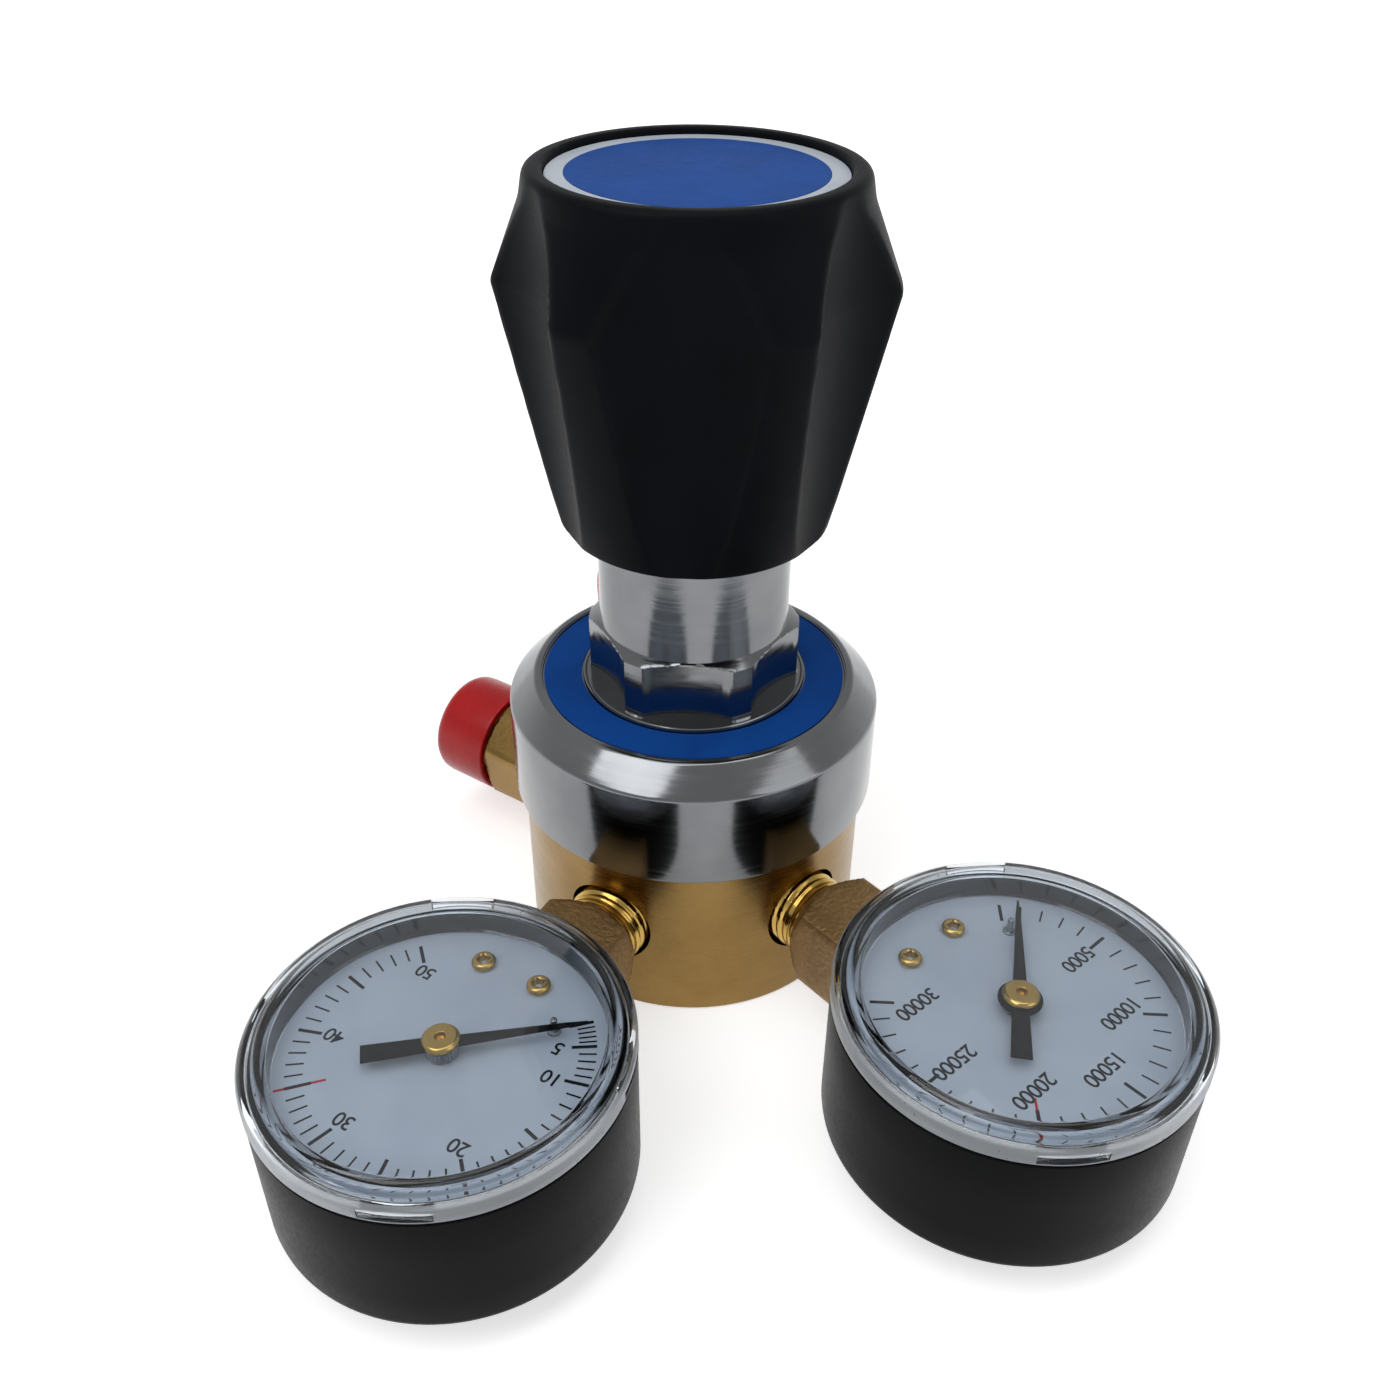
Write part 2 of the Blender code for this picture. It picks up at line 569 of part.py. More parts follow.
def build_knob():
    rim = 1.6 * MM
    top_recess = KNOB_TOP_Z - KNOB_LABEL_SINK - KNOB_LABEL_T - GAP
    outer = [(0.0, top_recess), (KNOB_LABEL_R + GAP, top_recess),
             (KNOB_LABEL_R + GAP, KNOB_TOP_Z - 0.3 * MM)]
    outer += [(KNOB_LABEL_R + GAP + 0.4 * MM, KNOB_TOP_Z)]
    outer += arc(rim, KNOB_RIM_R - 0.4 * MM, KNOB_TOP_Z - rim, 80.0, 15.0, 4)
    outer += [(KNOB_HEAD_R, KNOB_HEAD_Z), (KNOB_WAIST_R, KNOB_WAIST_Z),
              (KNOB_SHOULDER_R, KNOB_SHOULDER_Z), (KNOB_FOOT_R, KNOB_FOOT_Z + 1.2 * MM),
              (KNOB_FOOT_R - 1.2 * MM, KNOB_FOOT_Z)]
    bore = SCREW_R + RUN
    inner = [(KNOB_CAVITY_R, KNOB_FOOT_Z), (KNOB_CAVITY_R, KNOB_CAVITY_TOP_Z),
             (bore, KNOB_CAVITY_TOP_Z), (bore, SCREW_TOP_Z + GAP), (0.0, SCREW_TOP_Z + GAP)]
    knob = revolve("knob", outer + inner, ROUND_KNOB, material("knob_abs", BLACK, 0.45))
    head_r = FLUTE_FACE_R + FLUTE_CUT_R
    foot_z = KNOB_FOOT_Z - 4 * MM
    foot_r = head_r - FLUTE_LEAN * (KNOB_WAIST_Z - foot_z)
    bm = bmesh.new()
    for i in range(FLUTES):
        direction = FLUTE_TURN + 360.0 / FLUTES * i
        levels = [(foot_r, foot_z), (head_r, KNOB_WAIST_Z), (head_r, KNOB_TOP_Z + 2 * MM)]
        rings = [[bm.verts.new(p) for p in flute_section(r, z, direction)] for r, z in levels]
        count = len(rings[0])
        for low, high in zip(rings, rings[1:]):
            for a in range(count):
                b = (a + 1) % count
                bm.faces.new((low[a], low[b], high[b], high[a]))
        bm.faces.new(list(reversed(rings[0])))
        bm.faces.new(rings[-1])
    boolean(knob, add_object("flute_cutter", bm))
    low = top_recess + GAP
    revolve("knob_label", cylinder(KNOB_LABEL_R, low, low + KNOB_LABEL_T), ROUND_LARGE,
            material("knob_label_blue", BLUE, 0.35))


# Gauges
def gear_outline(teeth, first, last, root_r, tip_r):
    """Teeth first to last of a gear as outline points, each tooth narrower at its tip."""
    step = 360.0 / teeth
    points = []
    for i in range(first, last + 1):
        for radius, share in ((root_r, -TOOTH_ROOT), (tip_r, -TOOTH_TIP), (tip_r, TOOTH_TIP),
                              (root_r, TOOTH_ROOT)):
            angle = math.radians((i + share) * step)
            points.append((radius * math.cos(angle), radius * math.sin(angle)))
    return points


def sector_outline(first, last, radius):
    """The sector seen from above, its pivot at the centre: teeth, rim, web, hub and tail."""
    step = 360.0 / SECTOR_FULL_TEETH
    middle = (first + last) / 2 * step
    half = (last - first) / 2 * step + step / 2
    points = gear_outline(SECTOR_FULL_TEETH, first, last, radius - GEAR_DEPTH,
                          radius + GEAR_ADDENDUM)
    rim = radius - GEAR_DEPTH - SECTOR_RIM
    tail_edge = math.degrees(math.asin(SECTOR_TAIL_HALF / SECTOR_HUB_R))
    points += ring_points(rim, 3, start=middle + half, sweep=SECTOR_WEB - half, closed=False)
    points += ring_points(SECTOR_HUB_R, 3, start=middle + 50.0, sweep=130.0 - tail_edge - middle,
                          closed=False)
    points += ring_points(SECTOR_TAIL_HALF, 5, start=90.0, sweep=180.0, closed=False,
                          centre=(-SECTOR_TAIL, 0.0))
    points += ring_points(SECTOR_HUB_R, 3, start=180.0 + tail_edge,
                          sweep=130.0 - tail_edge + middle, closed=False)
    points += ring_points(rim, 3, start=middle - SECTOR_WEB, sweep=SECTOR_WEB - half, closed=False)
    return points


def build_movement(prefix, gauge):
    pinion_r = GEAR_MODULE * PINION_TEETH / 2
    sector_r = GEAR_MODULE * SECTOR_FULL_TEETH / 2
    away = math.radians(SECTOR_AT)
    centre = Vector((math.cos(away), math.sin(away), 0)) * (pinion_r + sector_r + 0.05 * MM)
    swing = POINTER_SWEEP * PINION_TEETH / SECTOR_FULL_TEETH

    # Pinion and arbor, with a tooth of the pinion towards the sector's pivot
    pinion = gear_outline(PINION_TEETH, 0, PINION_TEETH - 1, pinion_r - GEAR_DEPTH,
                          pinion_r + GEAR_ADDENDUM)
    arbor = prism(prefix + "_arbor", pinion, GEAR_Z - 0.1 * MM, GEAR_Z + GEAR_T + 0.1 * MM,
                  brass(prefix + "_arbor_brass"), gauge, turn_z(SECTOR_AT))
    shaft_low = MOVEMENT_LOW_Z + 0.1 * MM
    shaft = [(0.0, shaft_low), (ARBOR_R, shaft_low), (ARBOR_R, ARBOR_TOP_Z), (0.0, ARBOR_TOP_Z)]
    boolean(arbor, revolve("shaft", shaft, ROUND_PIN, frame=gauge), "UNION")

    # Sector: a gap between teeth meets the pinion, as many teeth before the middle as half the swing
    pitch = 360.0 / SECTOR_FULL_TEETH
    lead = round(swing / 2 / pitch)
    rest = 180.0 + SECTOR_AT - lead * pitch
    place = turn_z(rest, centre) @ turn_z(pitch / 2)
    first = -(SECTOR_TEETH // 2)
    sector = prism(prefix + "_sector", sector_outline(first, first + SECTOR_TEETH - 1, sector_r),
                   GEAR_Z, GEAR_Z + GEAR_T, brass(prefix + "_sector_brass"), gauge, place)
    boolean(sector, revolve("bore", cylinder(PIN_R + PIN_RUN, GEAR_Z - MM, GEAR_Z + 2 * MM),
                            ROUND_PIN, frame=gauge, place=place))
    pin = cylinder(PIN_R, GEAR_Z + GEAR_T / 2, GEAR_Z + GEAR_T + GAP + LINK_T + 0.2 * MM)
    boolean(sector, revolve("pin", pin, ROUND_PIN, frame=gauge,
                            place=place @ Matrix.Translation((-SECTOR_TAIL, 0, 0))), "UNION")

    # Two plates on pillars; the sector turns on a pin of the lower plate
    frame_mat = brass(prefix + "_movement_brass")
    half_w, front = MOVEMENT_HALF_W, MOVEMENT_FRONT
    rear = (centre.length + 3.0 * MM)
    plate = [(-rear, -3.0 * MM), (-rear, 3.0 * MM), (-2 * MM, half_w), (front, half_w),
             (front, -half_w), (-2 * MM, -half_w)]
    plate_place = turn_z(SECTOR_AT - 180.0)
    lower = prism(prefix + "_movement", plate, MOVEMENT_LOW_Z, MOVEMENT_LOW_Z + MOVEMENT_T,
                  frame_mat, gauge, plate_place)
    upper = prism("upper", [(-rear + 2.2 * MM, -2.2 * MM), (-rear + 2.2 * MM, 2.2 * MM),
                            (-2 * MM, half_w), (front, half_w), (front, -half_w),
                            (-2 * MM, -half_w)],
                  MOVEMENT_HIGH_Z, MOVEMENT_HIGH_Z + MOVEMENT_T, frame=gauge, place=plate_place)
    for x, y in ((front - 1.5 * MM, half_w - 1.4 * MM), (front - 1.5 * MM, -half_w + 1.4 * MM)):
        column = cylinder(PILLAR_R, MOVEMENT_LOW_Z + 0.2 * MM, MOVEMENT_HIGH_Z + 0.2 * MM)
        boolean(lower, revolve("pillar", column, ROUND_PIN, frame=gauge,
                               place=plate_place @ Matrix.Translation((x, y, 0))), "UNION")
    boolean(lower, upper, "UNION")
    pivot = cylinder(PIN_R, MOVEMENT_LOW_Z + 0.2 * MM, GEAR_Z + GEAR_T + 0.15 * MM)
    boolean(lower, revolve("pivot", pivot, ROUND_PIN, frame=gauge,
                           place=Matrix.Translation(centre)), "UNION")
    boolean(lower, revolve("bore", cylinder(ARBOR_R + 0.2 * MM, MOVEMENT_LOW_Z - MM,
                                            MOVEMENT_HIGH_Z + 2 * MM), ROUND_PIN, frame=gauge))

    # Hairspring round the arbor
    steps = HAIR_TURNS * 9
    path = []
    for i in range(steps + 1):
        angle = 2 * math.pi * i / 9
        radius = HAIR_IN_R + (HAIR_OUT_R - HAIR_IN_R) * i / steps
        outward = Vector((math.cos(angle), math.sin(angle), 0))
        path.append((outward * radius + Vector((0, 0, HAIR_Z)), outward, Vector((0, 0, 1))))
    section = [(0, 0), (HAIR_T, 0), (HAIR_T, HAIR_H), (0, HAIR_H)]
    add_object(prefix + "_hairspring", swept(bmesh.new(), path, section),
               brass(prefix + "_hairspring_bronze"), gauge)

    # Link from the tube's tip to the sector's tail
    rest_rad = math.radians(rest + pitch / 2 + 180.0)
    tail = centre + Vector((math.cos(rest_rad), math.sin(rest_rad), 0)) * SECTOR_TAIL
    tip = Vector((0.0, -TUBE_COIL_R, 0.0))
    run = tip - tail
    link_turn = math.degrees(math.atan2(run.y, run.x))
    link_z = GEAR_Z + GEAR_T + GAP
    outline = ring_points(LINK_HALF_W, 5, start=90.0, sweep=180.0, closed=False)
    outline += ring_points(LINK_HALF_W, 5, start=-90.0, sweep=180.0, closed=False,
                           centre=(run.length, 0.0))
    link_place = turn_z(link_turn, tail)
    link = prism(prefix + "_link", outline, link_z, link_z + LINK_T,
                 steel(prefix + "_link_steel"), gauge, link_place)
    for x in (0.0, run.length):
        hole = cylinder(PIN_R + LINK_RUN, link_z - MM, link_z + 2 * MM)
        boolean(link, revolve("hole", hole, ROUND_PIN, frame=gauge,
                              place=link_place @ Matrix.Translation((x, 0, 0))))
    return link_z


def build_gauge(prefix, side, frame):
    azimuth = -90.0 + side * GAUGE_SPREAD
    angle = math.radians(azimuth)
    centre = Vector((math.cos(angle), math.sin(angle), 0)) * GAUGE_DISTANCE
    gauge = turn_z(azimuth + 180.0, centre)
    inner_r = CASE_R - CASE_WALL
    half = SOCKET_FLATS / 2

    # Case: a cup with a slot in its side for the socket and two screw holes in its back
    dial_low = DIAL_TOP_Z - DIAL_T
    ledge = dial_low - GAP
    case = [(0.0, CASE_BACK_Z), (CASE_R - 1.2 * MM, CASE_BACK_Z), (CASE_R, CASE_BACK_Z + 1.2 * MM),
            (CASE_R, LENS_SKIRT_Z - GAP),
            (CASE_R - CASE_STEP, LENS_SKIRT_Z - GAP), (CASE_R - CASE_STEP, CASE_TOP_Z),
            (inner_r - 0.1 * MM, CASE_TOP_Z), (inner_r - 0.1 * MM, ledge),
            (inner_r - 2.2 * MM, ledge), (inner_r, ledge - 2.2 * MM),
            (inner_r, CASE_BACK_Z + 1.2 * MM),
            (0.0, CASE_BACK_Z + 1.2 * MM)]
    shell = revolve(prefix + "_case", case, ROUND_LARGE, material(prefix + "_case_black", BLACK, 0.5),
                    gauge)
    slot = half + GAP
    window = [(inner_r - 3 * MM, -slot), (CASE_R + 2 * MM, -slot), (CASE_R + 2 * MM, slot),
              (inner_r - 3 * MM, slot)]
    boolean(shell, prism("slot", window, PORT_Z - slot, PORT_Z + slot, frame=gauge))
    spots = [(BACK_SCREW_AT, BACK_SCREW_SPREAD), (BACK_SCREW_AT, -BACK_SCREW_SPREAD)]
    hole = cylinder(1.5 * MM, CASE_BACK_Z - MM, CASE_BACK_Z + 2 * MM)
    for x, y in spots:
        boolean(shell, revolve("hole", hole, ROUND_PIN, frame=gauge,
                               place=Matrix.Translation((x, y, 0))))

    # Lens: skirt over the case lip, rounded rim, flat window
    inside_r = CASE_R - CASE_STEP + GAP
    window_low = LENS_TOP_Z - WINDOW_T
    lens = [(0.0, LENS_TOP_Z), (LENS_R - 4.4 * MM, LENS_TOP_Z),
            (LENS_R - 3.6 * MM, LENS_TOP_Z - 0.5 * MM), (LENS_R - 2.8 * MM, LENS_TOP_Z)]
    lens += arc(1.4 * MM, LENS_R - 1.4 * MM, LENS_TOP_Z - 1.4 * MM, 75.0, 0.0, 3)
    lens += [(LENS_R, LENS_SKIRT_Z), (inside_r, LENS_SKIRT_Z), (inside_r, CASE_TOP_Z + GAP),
             (inner_r - 1.4 * MM, CASE_TOP_Z + GAP), (inner_r - 1.4 * MM, DIAL_TOP_Z + GAP),
             (inner_r - 2.6 * MM, DIAL_TOP_Z + GAP), (inner_r - 2.6 * MM, window_low),
             (0.0, window_low)]
    revolve(prefix + "_lens", lens, ROUND_LARGE,
            material(prefix + "_lens_clear", CLEAR, 0.05, alpha=0.25), gauge)

    # Dial with holes for the arbor, the pin and its two screws
    dial = revolve(prefix + "_dial", cylinder(DIAL_R, dial_low, DIAL_TOP_Z), ROUND_LARGE,
                   material(prefix + "_dial_white", WHITE, 0.4), gauge)
    spots_up = []
    for sign in (-1, 1):
        at = math.radians(sign * DIAL_SCREW_AT)
        spots_up.append((DIAL_SCREW_AT_R * math.cos(at), DIAL_SCREW_AT_R * math.sin(at)))
    stop = math.radians(STOP_PIN_AT)
    stop_spot = (STOP_PIN_AT_R * math.cos(stop), STOP_PIN_AT_R * math.sin(stop))
    holes = [(spots_up[0], 1.0 * MM), (spots_up[1], 1.0 * MM), ((0.0, 0.0), 1.6 * MM),
             (stop_spot, STOP_PIN_R + 0.05 * MM)]
    for (x, y), radius in holes:
        boolean(dial, revolve("hole", cylinder(radius, dial_low - MM, DIAL_TOP_Z + MM), ROUND_PIN,
                              frame=gauge, place=Matrix.Translation((x, y, 0))))
    pin_low = dial_low - 0.6 * MM
    pin = [(0.0, pin_low), (STOP_PIN_R, pin_low), (STOP_PIN_R, POINTER_Z + POINTER_T + 0.2 * MM),
           (0.0, POINTER_Z + POINTER_T + 0.2 * MM)]
    revolve(prefix + "_stop_pin", pin, ROUND_PIN, steel(prefix + "_stop_pin_steel"), gauge,
            Matrix.Translation((*stop_spot, 0)))
    screw_brass = brass(prefix + "_dial_screw_brass")
    for (x, y), tag in zip(spots_up, ("a", "b")):
        head = DIAL_TOP_Z + GAP
        screw = [(0.0, head + 0.8 * MM), (1.1 * MM, head + 0.6 * MM),
                 (DIAL_SCREW_HEAD_R, head + 0.2 * MM), (DIAL_SCREW_HEAD_R, head),
                 (0.8 * MM, head), (0.8 * MM, dial_low - 2.2 * MM), (0.0, dial_low - 2.2 * MM)]
        revolve(f"{prefix}_dial_screw_{tag}", screw, ROUND_PIN, screw_brass, gauge,
                Matrix.Translation((x, y, 0)))

    # Pointer and hub cap
    low, high = POINTER_Z, POINTER_Z + POINTER_T
    boss = POINTER_BOSS
    half = [(-POINTER_TAIL_R, boss * 0.75), (-boss * 1.3, boss * 0.5), (0.0, boss),
            (boss * 1.3, boss * 0.55), (POINTER_TIP_R - boss * 1.5, boss * 0.175),
            (POINTER_TIP_R, boss * 0.06)]
    outline = [(x, -y) for x, y in half] + list(reversed(half))
    at_rest = turn_z(POINTER_REST)
    pointer = prism(prefix + "_pointer", outline, low, high,
                    material(prefix + "_pointer_black", BLACK, 0.4), gauge, at_rest)
    bushing = [(0.0, low - MM), (boss * 0.7, low - MM), (boss * 0.7, low - 0.05 * MM),
               (boss, low + 0.1 * MM), (boss, high - 0.05 * MM), (0.0, high - 0.05 * MM)]
    boolean(pointer, revolve("bushing", bushing, ROUND_SMALL, frame=gauge), "UNION")
    bore = cylinder(ARBOR_R + 0.1 * MM, low - 2 * MM, high + MM)
    boolean(pointer, revolve("bore", bore, ROUND_PIN, frame=gauge))
    cap_low = max(high, ARBOR_TOP_Z) + GAP * 0.4
    hub = [(0.0, cap_low + 0.4 * MM), (0.45 * MM, cap_low + 0.4 * MM), (0.5 * MM, cap_low + 0.7 * MM),
           (1.8 * MM, cap_low + 0.6 * MM), (POINTER_HUB_R, cap_low + 0.3 * MM),
           (POINTER_HUB_R, cap_low), (0.0, cap_low)]
    revolve(prefix + "_pointer_hub", hub, ROUND_SMALL, brass(prefix + "_hub_brass"), gauge)

    link_z = build_movement(prefix, gauge)

    # Bourdon tube with its tip pin
    path = []
    steps = 16
    for i in range(steps + 1):
        turn = math.radians(TUBE_START + (TUBE_END - TUBE_START) * i / steps)
        outward = Vector((math.cos(turn), math.sin(turn), 0))
        path.append((outward * TUBE_COIL_R + Vector((0, 0, TUBE_MID_Z)), outward, Vector((0, 0, 1))))
    oval = [(TUBE_HALF_W * math.cos(math.pi * i / 4), TUBE_HALF_H * math.sin(math.pi * i / 4))
            for i in range(8)]
    tube = add_object(prefix + "_bourdon_tube", swept(bmesh.new(), path, oval),
                      brass(prefix + "_tube_bronze"), gauge)
    tip_pin = cylinder(PIN_R, TUBE_MID_Z + TUBE_HALF_H - 1.5 * MM, link_z + LINK_T + 0.2 * MM)
    boolean(tube, revolve("pin", tip_pin, ROUND_PIN, frame=gauge,
                          place=Matrix.Translation((0.2 * MM, -TUBE_COIL_R, 0))), "UNION")

    # Socket: thread, square block with a turned nose, and the part inside the case
    socket = revolve(prefix + "_socket", cylinder(GAUGE_THREAD_R, GAUGE_THREAD_IN, SOCKET_BLOCK_AT + MM),
                     ROUND_MEDIUM, brass(prefix + "_socket_brass"), frame)
    block_end = GAUGE_DISTANCE - inner_r - 0.5 * MM + 2.0 * MM
    square = ring_points(SOCKET_FLATS / math.sqrt(2), 4, start=45.0)
    block = prism("block", square, SOCKET_BLOCK_AT, block_end, frame=frame)
    nose_r = SOCKET_FLATS / 2
    nose = [(0.0, SOCKET_BLOCK_AT - MM), (nose_r * 0.93, SOCKET_BLOCK_AT - 0.01 * MM),
            (nose_r * 1.42, SOCKET_BLOCK_AT + 2.6 * MM), (nose_r * 1.42, block_end + MM),
            (0.0, block_end + MM)]
    boolean(block, revolve("nose", nose, ROUND_MEDIUM, frame=frame), "INTERSECT")
    boolean(socket, block, "UNION")
    floor_x = CASE_BACK_Z + 1.2 * MM + GAP - PORT_Z
    top_x = MOVEMENT_LOW_Z - GAP - PORT_Z
    foot = [(floor_x, -6.0 * MM), (top_x, -6.0 * MM), (top_x, 6.0 * MM), (floor_x, 6.0 * MM)]
    boolean(socket, prism("foot", foot, block_end - 0.2 * MM, SOCKET_INNER_END, frame=frame), "UNION")
    post_high = dial_low - GAP
    for x, y in spots_up:
        tap_low = post_high - 2.3 * MM
        post = [(0.0, top_x + PORT_Z - 2.0 * MM), (POST_R, top_x + PORT_Z - 2.0 * MM),
                (POST_R, post_high), (1.1 * MM, post_high), (1.1 * MM, tap_low), (0.0, tap_low)]
        boolean(socket, revolve("post", post, ROUND_SMALL, frame=gauge,
                                place=turn_z(7.0, (x, y, 0))), "UNION")
    boolean(socket, revolve("bore", cylinder(SOCKET_BORE_R, GAUGE_THREAD_IN - MM,
                                             SOCKET_INNER_END - 4 * MM), ROUND_PIN, frame=frame))
    for x, y in spots:
        tap = cylinder(1.2 * MM, CASE_BACK_Z, CASE_BACK_Z + 5.4 * MM)
        boolean(socket, revolve("tap", tap, ROUND_PIN, frame=gauge,
                                place=Matrix.Translation((x, y, 0))))
    screw_steel = steel(prefix + "_back_screw_steel")
    for (x, y), tag in zip(spots, ("a", "b")):
        head = CASE_BACK_Z - GAP
        screw = [(0.0, head - 1.2 * MM), (BACK_SCREW_R + 0.5 * MM, head - MM),
                 (BACK_SCREW_R + 0.8 * MM, head - 0.4 * MM), (BACK_SCREW_R + 0.8 * MM, head),
                 (0.9 * MM, head), (0.9 * MM, head + 5.0 * MM), (0.0, head + 5.0 * MM)]
        revolve(f"{prefix}_back_screw_{tag}", screw, ROUND_PIN, screw_steel, gauge,
                Matrix.Translation((x, y, 0)))


# Inlet and outlet
def build_cap(name, frame, radius, start, end, mat):
    """A pushed-on cap: a thin cup with a rounded closed end."""
    inner = radius - CAP_WALL
    profile = [(0.0, end)]
    profile += arc(CAP_ROUND, radius - CAP_ROUND, end - CAP_ROUND, 90.0, 0.0, 4)
    profile += [(radius, start), (inner, start), (inner, end - CAP_WALL), (0.0, end - CAP_WALL)]
    return revolve(name, profile, ROUND_CAP, mat, frame)


def build_inlet(frame):
    flange = NUT_SHOULDER + GAP
    flange_end = flange + INLET_FLANGE_T
    groove = INLET_NOSE_R - 1.2 * MM
    half = RING_WIRE_R + 0.3 * MM
    tip = INLET_NOSE_END
    outer = [(INLET_PORT_R - 0.2 * MM, INLET_PORT_IN), (INLET_PORT_R, INLET_PORT_IN + 0.8 * MM),
             (INLET_PORT_R, BODY_R + GAP), (INLET_STEM_R, INLET_HEX_END - MM),
             (INLET_STEM_R, flange), (INLET_FLANGE_R, flange),
             (INLET_FLANGE_R, flange_end), (INLET_NOSE_R, flange_end + MM),
             (INLET_NOSE_R, RING_AT - half), (groove, RING_AT - half), (groove, RING_AT + half),
             (INLET_NOSE_R, RING_AT + half), (INLET_NOSE_R, tip - 3 * MM)]
    outer += arc(3.0 * MM, INLET_NOSE_R - 3.0 * MM, tip - 3.0 * MM, 20.0, 80.0, 3)
    inner = [(INLET_BORE_R, tip), (INLET_BORE_R, INLET_PORT_IN + 8 * MM),
             (4.0 * MM, INLET_PORT_IN + 8 * MM), (4.0 * MM, INLET_PORT_IN)]
    stem = revolve("inlet_stem", outer + inner, ROUND_MEDIUM, brass("inlet_stem_brass"), frame)
    nut = prism("hex", hexagon(INLET_HEX_FLATS, 0.0), BODY_R + GAP, INLET_HEX_END, frame=frame)
    rim = INLET_HEX_FLATS / 2
    chamfer = [(0.0, BODY_R + GAP - MM), (rim * 1.2, BODY_R + GAP - MM),
               (rim * 1.2, INLET_HEX_END - 1.4 * MM), (rim * 0.98, INLET_HEX_END),
               (0.0, INLET_HEX_END)]
    boolean(nut, revolve("chamfer", chamfer, ROUND_MEDIUM, frame=frame), "INTERSECT")
    boolean(nut, revolve("bore", cylinder(5.0 * MM, BODY_R, INLET_HEX_END + MM), ROUND_SMALL,
                         frame=frame))
    boolean(stem, nut, "UNION")
    filter_r = 4.0 * MM - GAP
    filter_profile = [(0.0, INLET_PORT_IN + 7.6 * MM), (filter_r, INLET_PORT_IN + 7.6 * MM),
                      (filter_r, INLET_PORT_IN + MM), (0.0, INLET_PORT_IN + MM)]
    revolve("inlet_filter", filter_profile, ROUND_SMALL,
            material("filter_bronze", (0.45, 0.28, 0.12), 0.8, 0.6), frame)
    ring = ring_points(RING_WIRE_R, 6, centre=(groove + GAP + RING_WIRE_R, RING_AT))
    revolve("inlet_o_ring", ring, ROUND_MEDIUM, material("o_ring_rubber", BLACK, 0.6), frame)

    bore = INLET_STEM_R + 0.4 * MM
    counter = INLET_FLANGE_R + GAP
    profile = [(bore, NUT_START), (INLET_THREAD_R, NUT_START), (INLET_THREAD_R, NUT_END - 0.8 * MM),
               (INLET_THREAD_R - 0.8 * MM, NUT_END), (counter, NUT_END), (counter, NUT_SHOULDER),
               (bore, NUT_SHOULDER)]
    inlet_nut = revolve("inlet_nut", profile, ROUND_MEDIUM, brass("inlet_nut_brass"), frame)
    hexa = prism("hex", hexagon(NUT_FLATS, 90.0), NUT_START + 0.1 * MM, NUT_HEX_END, frame=frame)
    rim = NUT_FLATS / 2
    chamfer = [(0.0, NUT_START), (rim * 0.97, NUT_START + 0.05 * MM),
               (rim * 1.16, NUT_START + 2.0 * MM), (rim * 1.16, NUT_HEX_END - 2.0 * MM),
               (rim * 0.97, NUT_HEX_END), (0.0, NUT_HEX_END)]
    boolean(hexa, revolve("chamfer", chamfer, ROUND_MEDIUM, frame=frame), "INTERSECT")
    boolean(hexa, revolve("bore", cylinder(INLET_THREAD_R - MM, NUT_START - MM, NUT_HEX_END + MM),
                          ROUND_MEDIUM, frame=frame))
    boolean(inlet_nut, hexa, "UNION")
    build_cap("inlet_cap", frame, INLET_CAP_R, NUT_HEX_END + GAP, INLET_CAP_END,
              material("inlet_cap_red", RED, 0.35))


def build_outlet(frame):
    start = GAUGE_THREAD_IN
    outer = [(GAUGE_THREAD_R, start), (GAUGE_THREAD_R, BODY_R + MM), (7.0 * MM, OUTLET_HEX_END - MM),
             (7.0 * MM, OUTLET_HEX_END + MM), (OUTLET_THREAD_R, OUTLET_HEX_END + 1.8 * MM),
             (OUTLET_THREAD_R, OUTLET_END - MM), (OUTLET_THREAD_R - MM, OUTLET_END)]
    inner = [(OUTLET_BORE_R + 1.4 * MM, OUTLET_END), (OUTLET_BORE_R, OUTLET_END - 2.2 * MM),
             (OUTLET_BORE_R, start)]
    fitting = revolve("outlet_fitting", outer + inner, ROUND_MEDIUM, brass("outlet_brass"), frame)
    # The frame's X is up, and a corner lies this far above its level side, which is its -Y
    hexa = prism("hex", hexagon(OUTLET_HEX_FLATS, OUTLET_HEX_TURN - 120.0),
                 BODY_R + GAP, OUTLET_HEX_END, frame=frame)
    rim = OUTLET_HEX_FLATS / 2
    chamfer = [(0.0, BODY_R), (rim * 1.16, BODY_R), (rim * 1.16, OUTLET_HEX_END - MM),
               (rim * 0.98, OUTLET_HEX_END), (0.0, OUTLET_HEX_END)]
    boolean(hexa, revolve("chamfer", chamfer, ROUND_MEDIUM, frame=frame), "INTERSECT")
    boolean(hexa, revolve("bore", cylinder(5.5 * MM, BODY_R - MM, OUTLET_HEX_END + MM), ROUND_SMALL,
                          frame=frame))
    boolean(fitting, hexa, "UNION")
    build_cap("outlet_cap", frame, OUTLET_CAP_R, OUTLET_HEX_END + GAP, OUTLET_CAP_END,
              material("outlet_cap_red", RED, 0.35))


def main():
    clear_scene()
    frames = {
        "flow": port_frame(-90.0 - GAUGE_SPREAD),
        "contents": port_frame(-90.0 + GAUGE_SPREAD),
        "inlet": port_frame(90.0),
        "outlet": port_frame(OUTLET_AZIMUTH)}
    build_body(frames)
    build_valve()
    ring_high, plate_top = build_diaphragm()
    spring_top = build_bonnet(ring_high)
    build_adjuster(spring_top, plate_top)
    build_knob()
    build_gauge("flow", -1, frames["flow"])
    build_gauge("contents", 1, frames["contents"])
    build_inlet(frames["inlet"])
    build_outlet(frames["outlet"])


main()
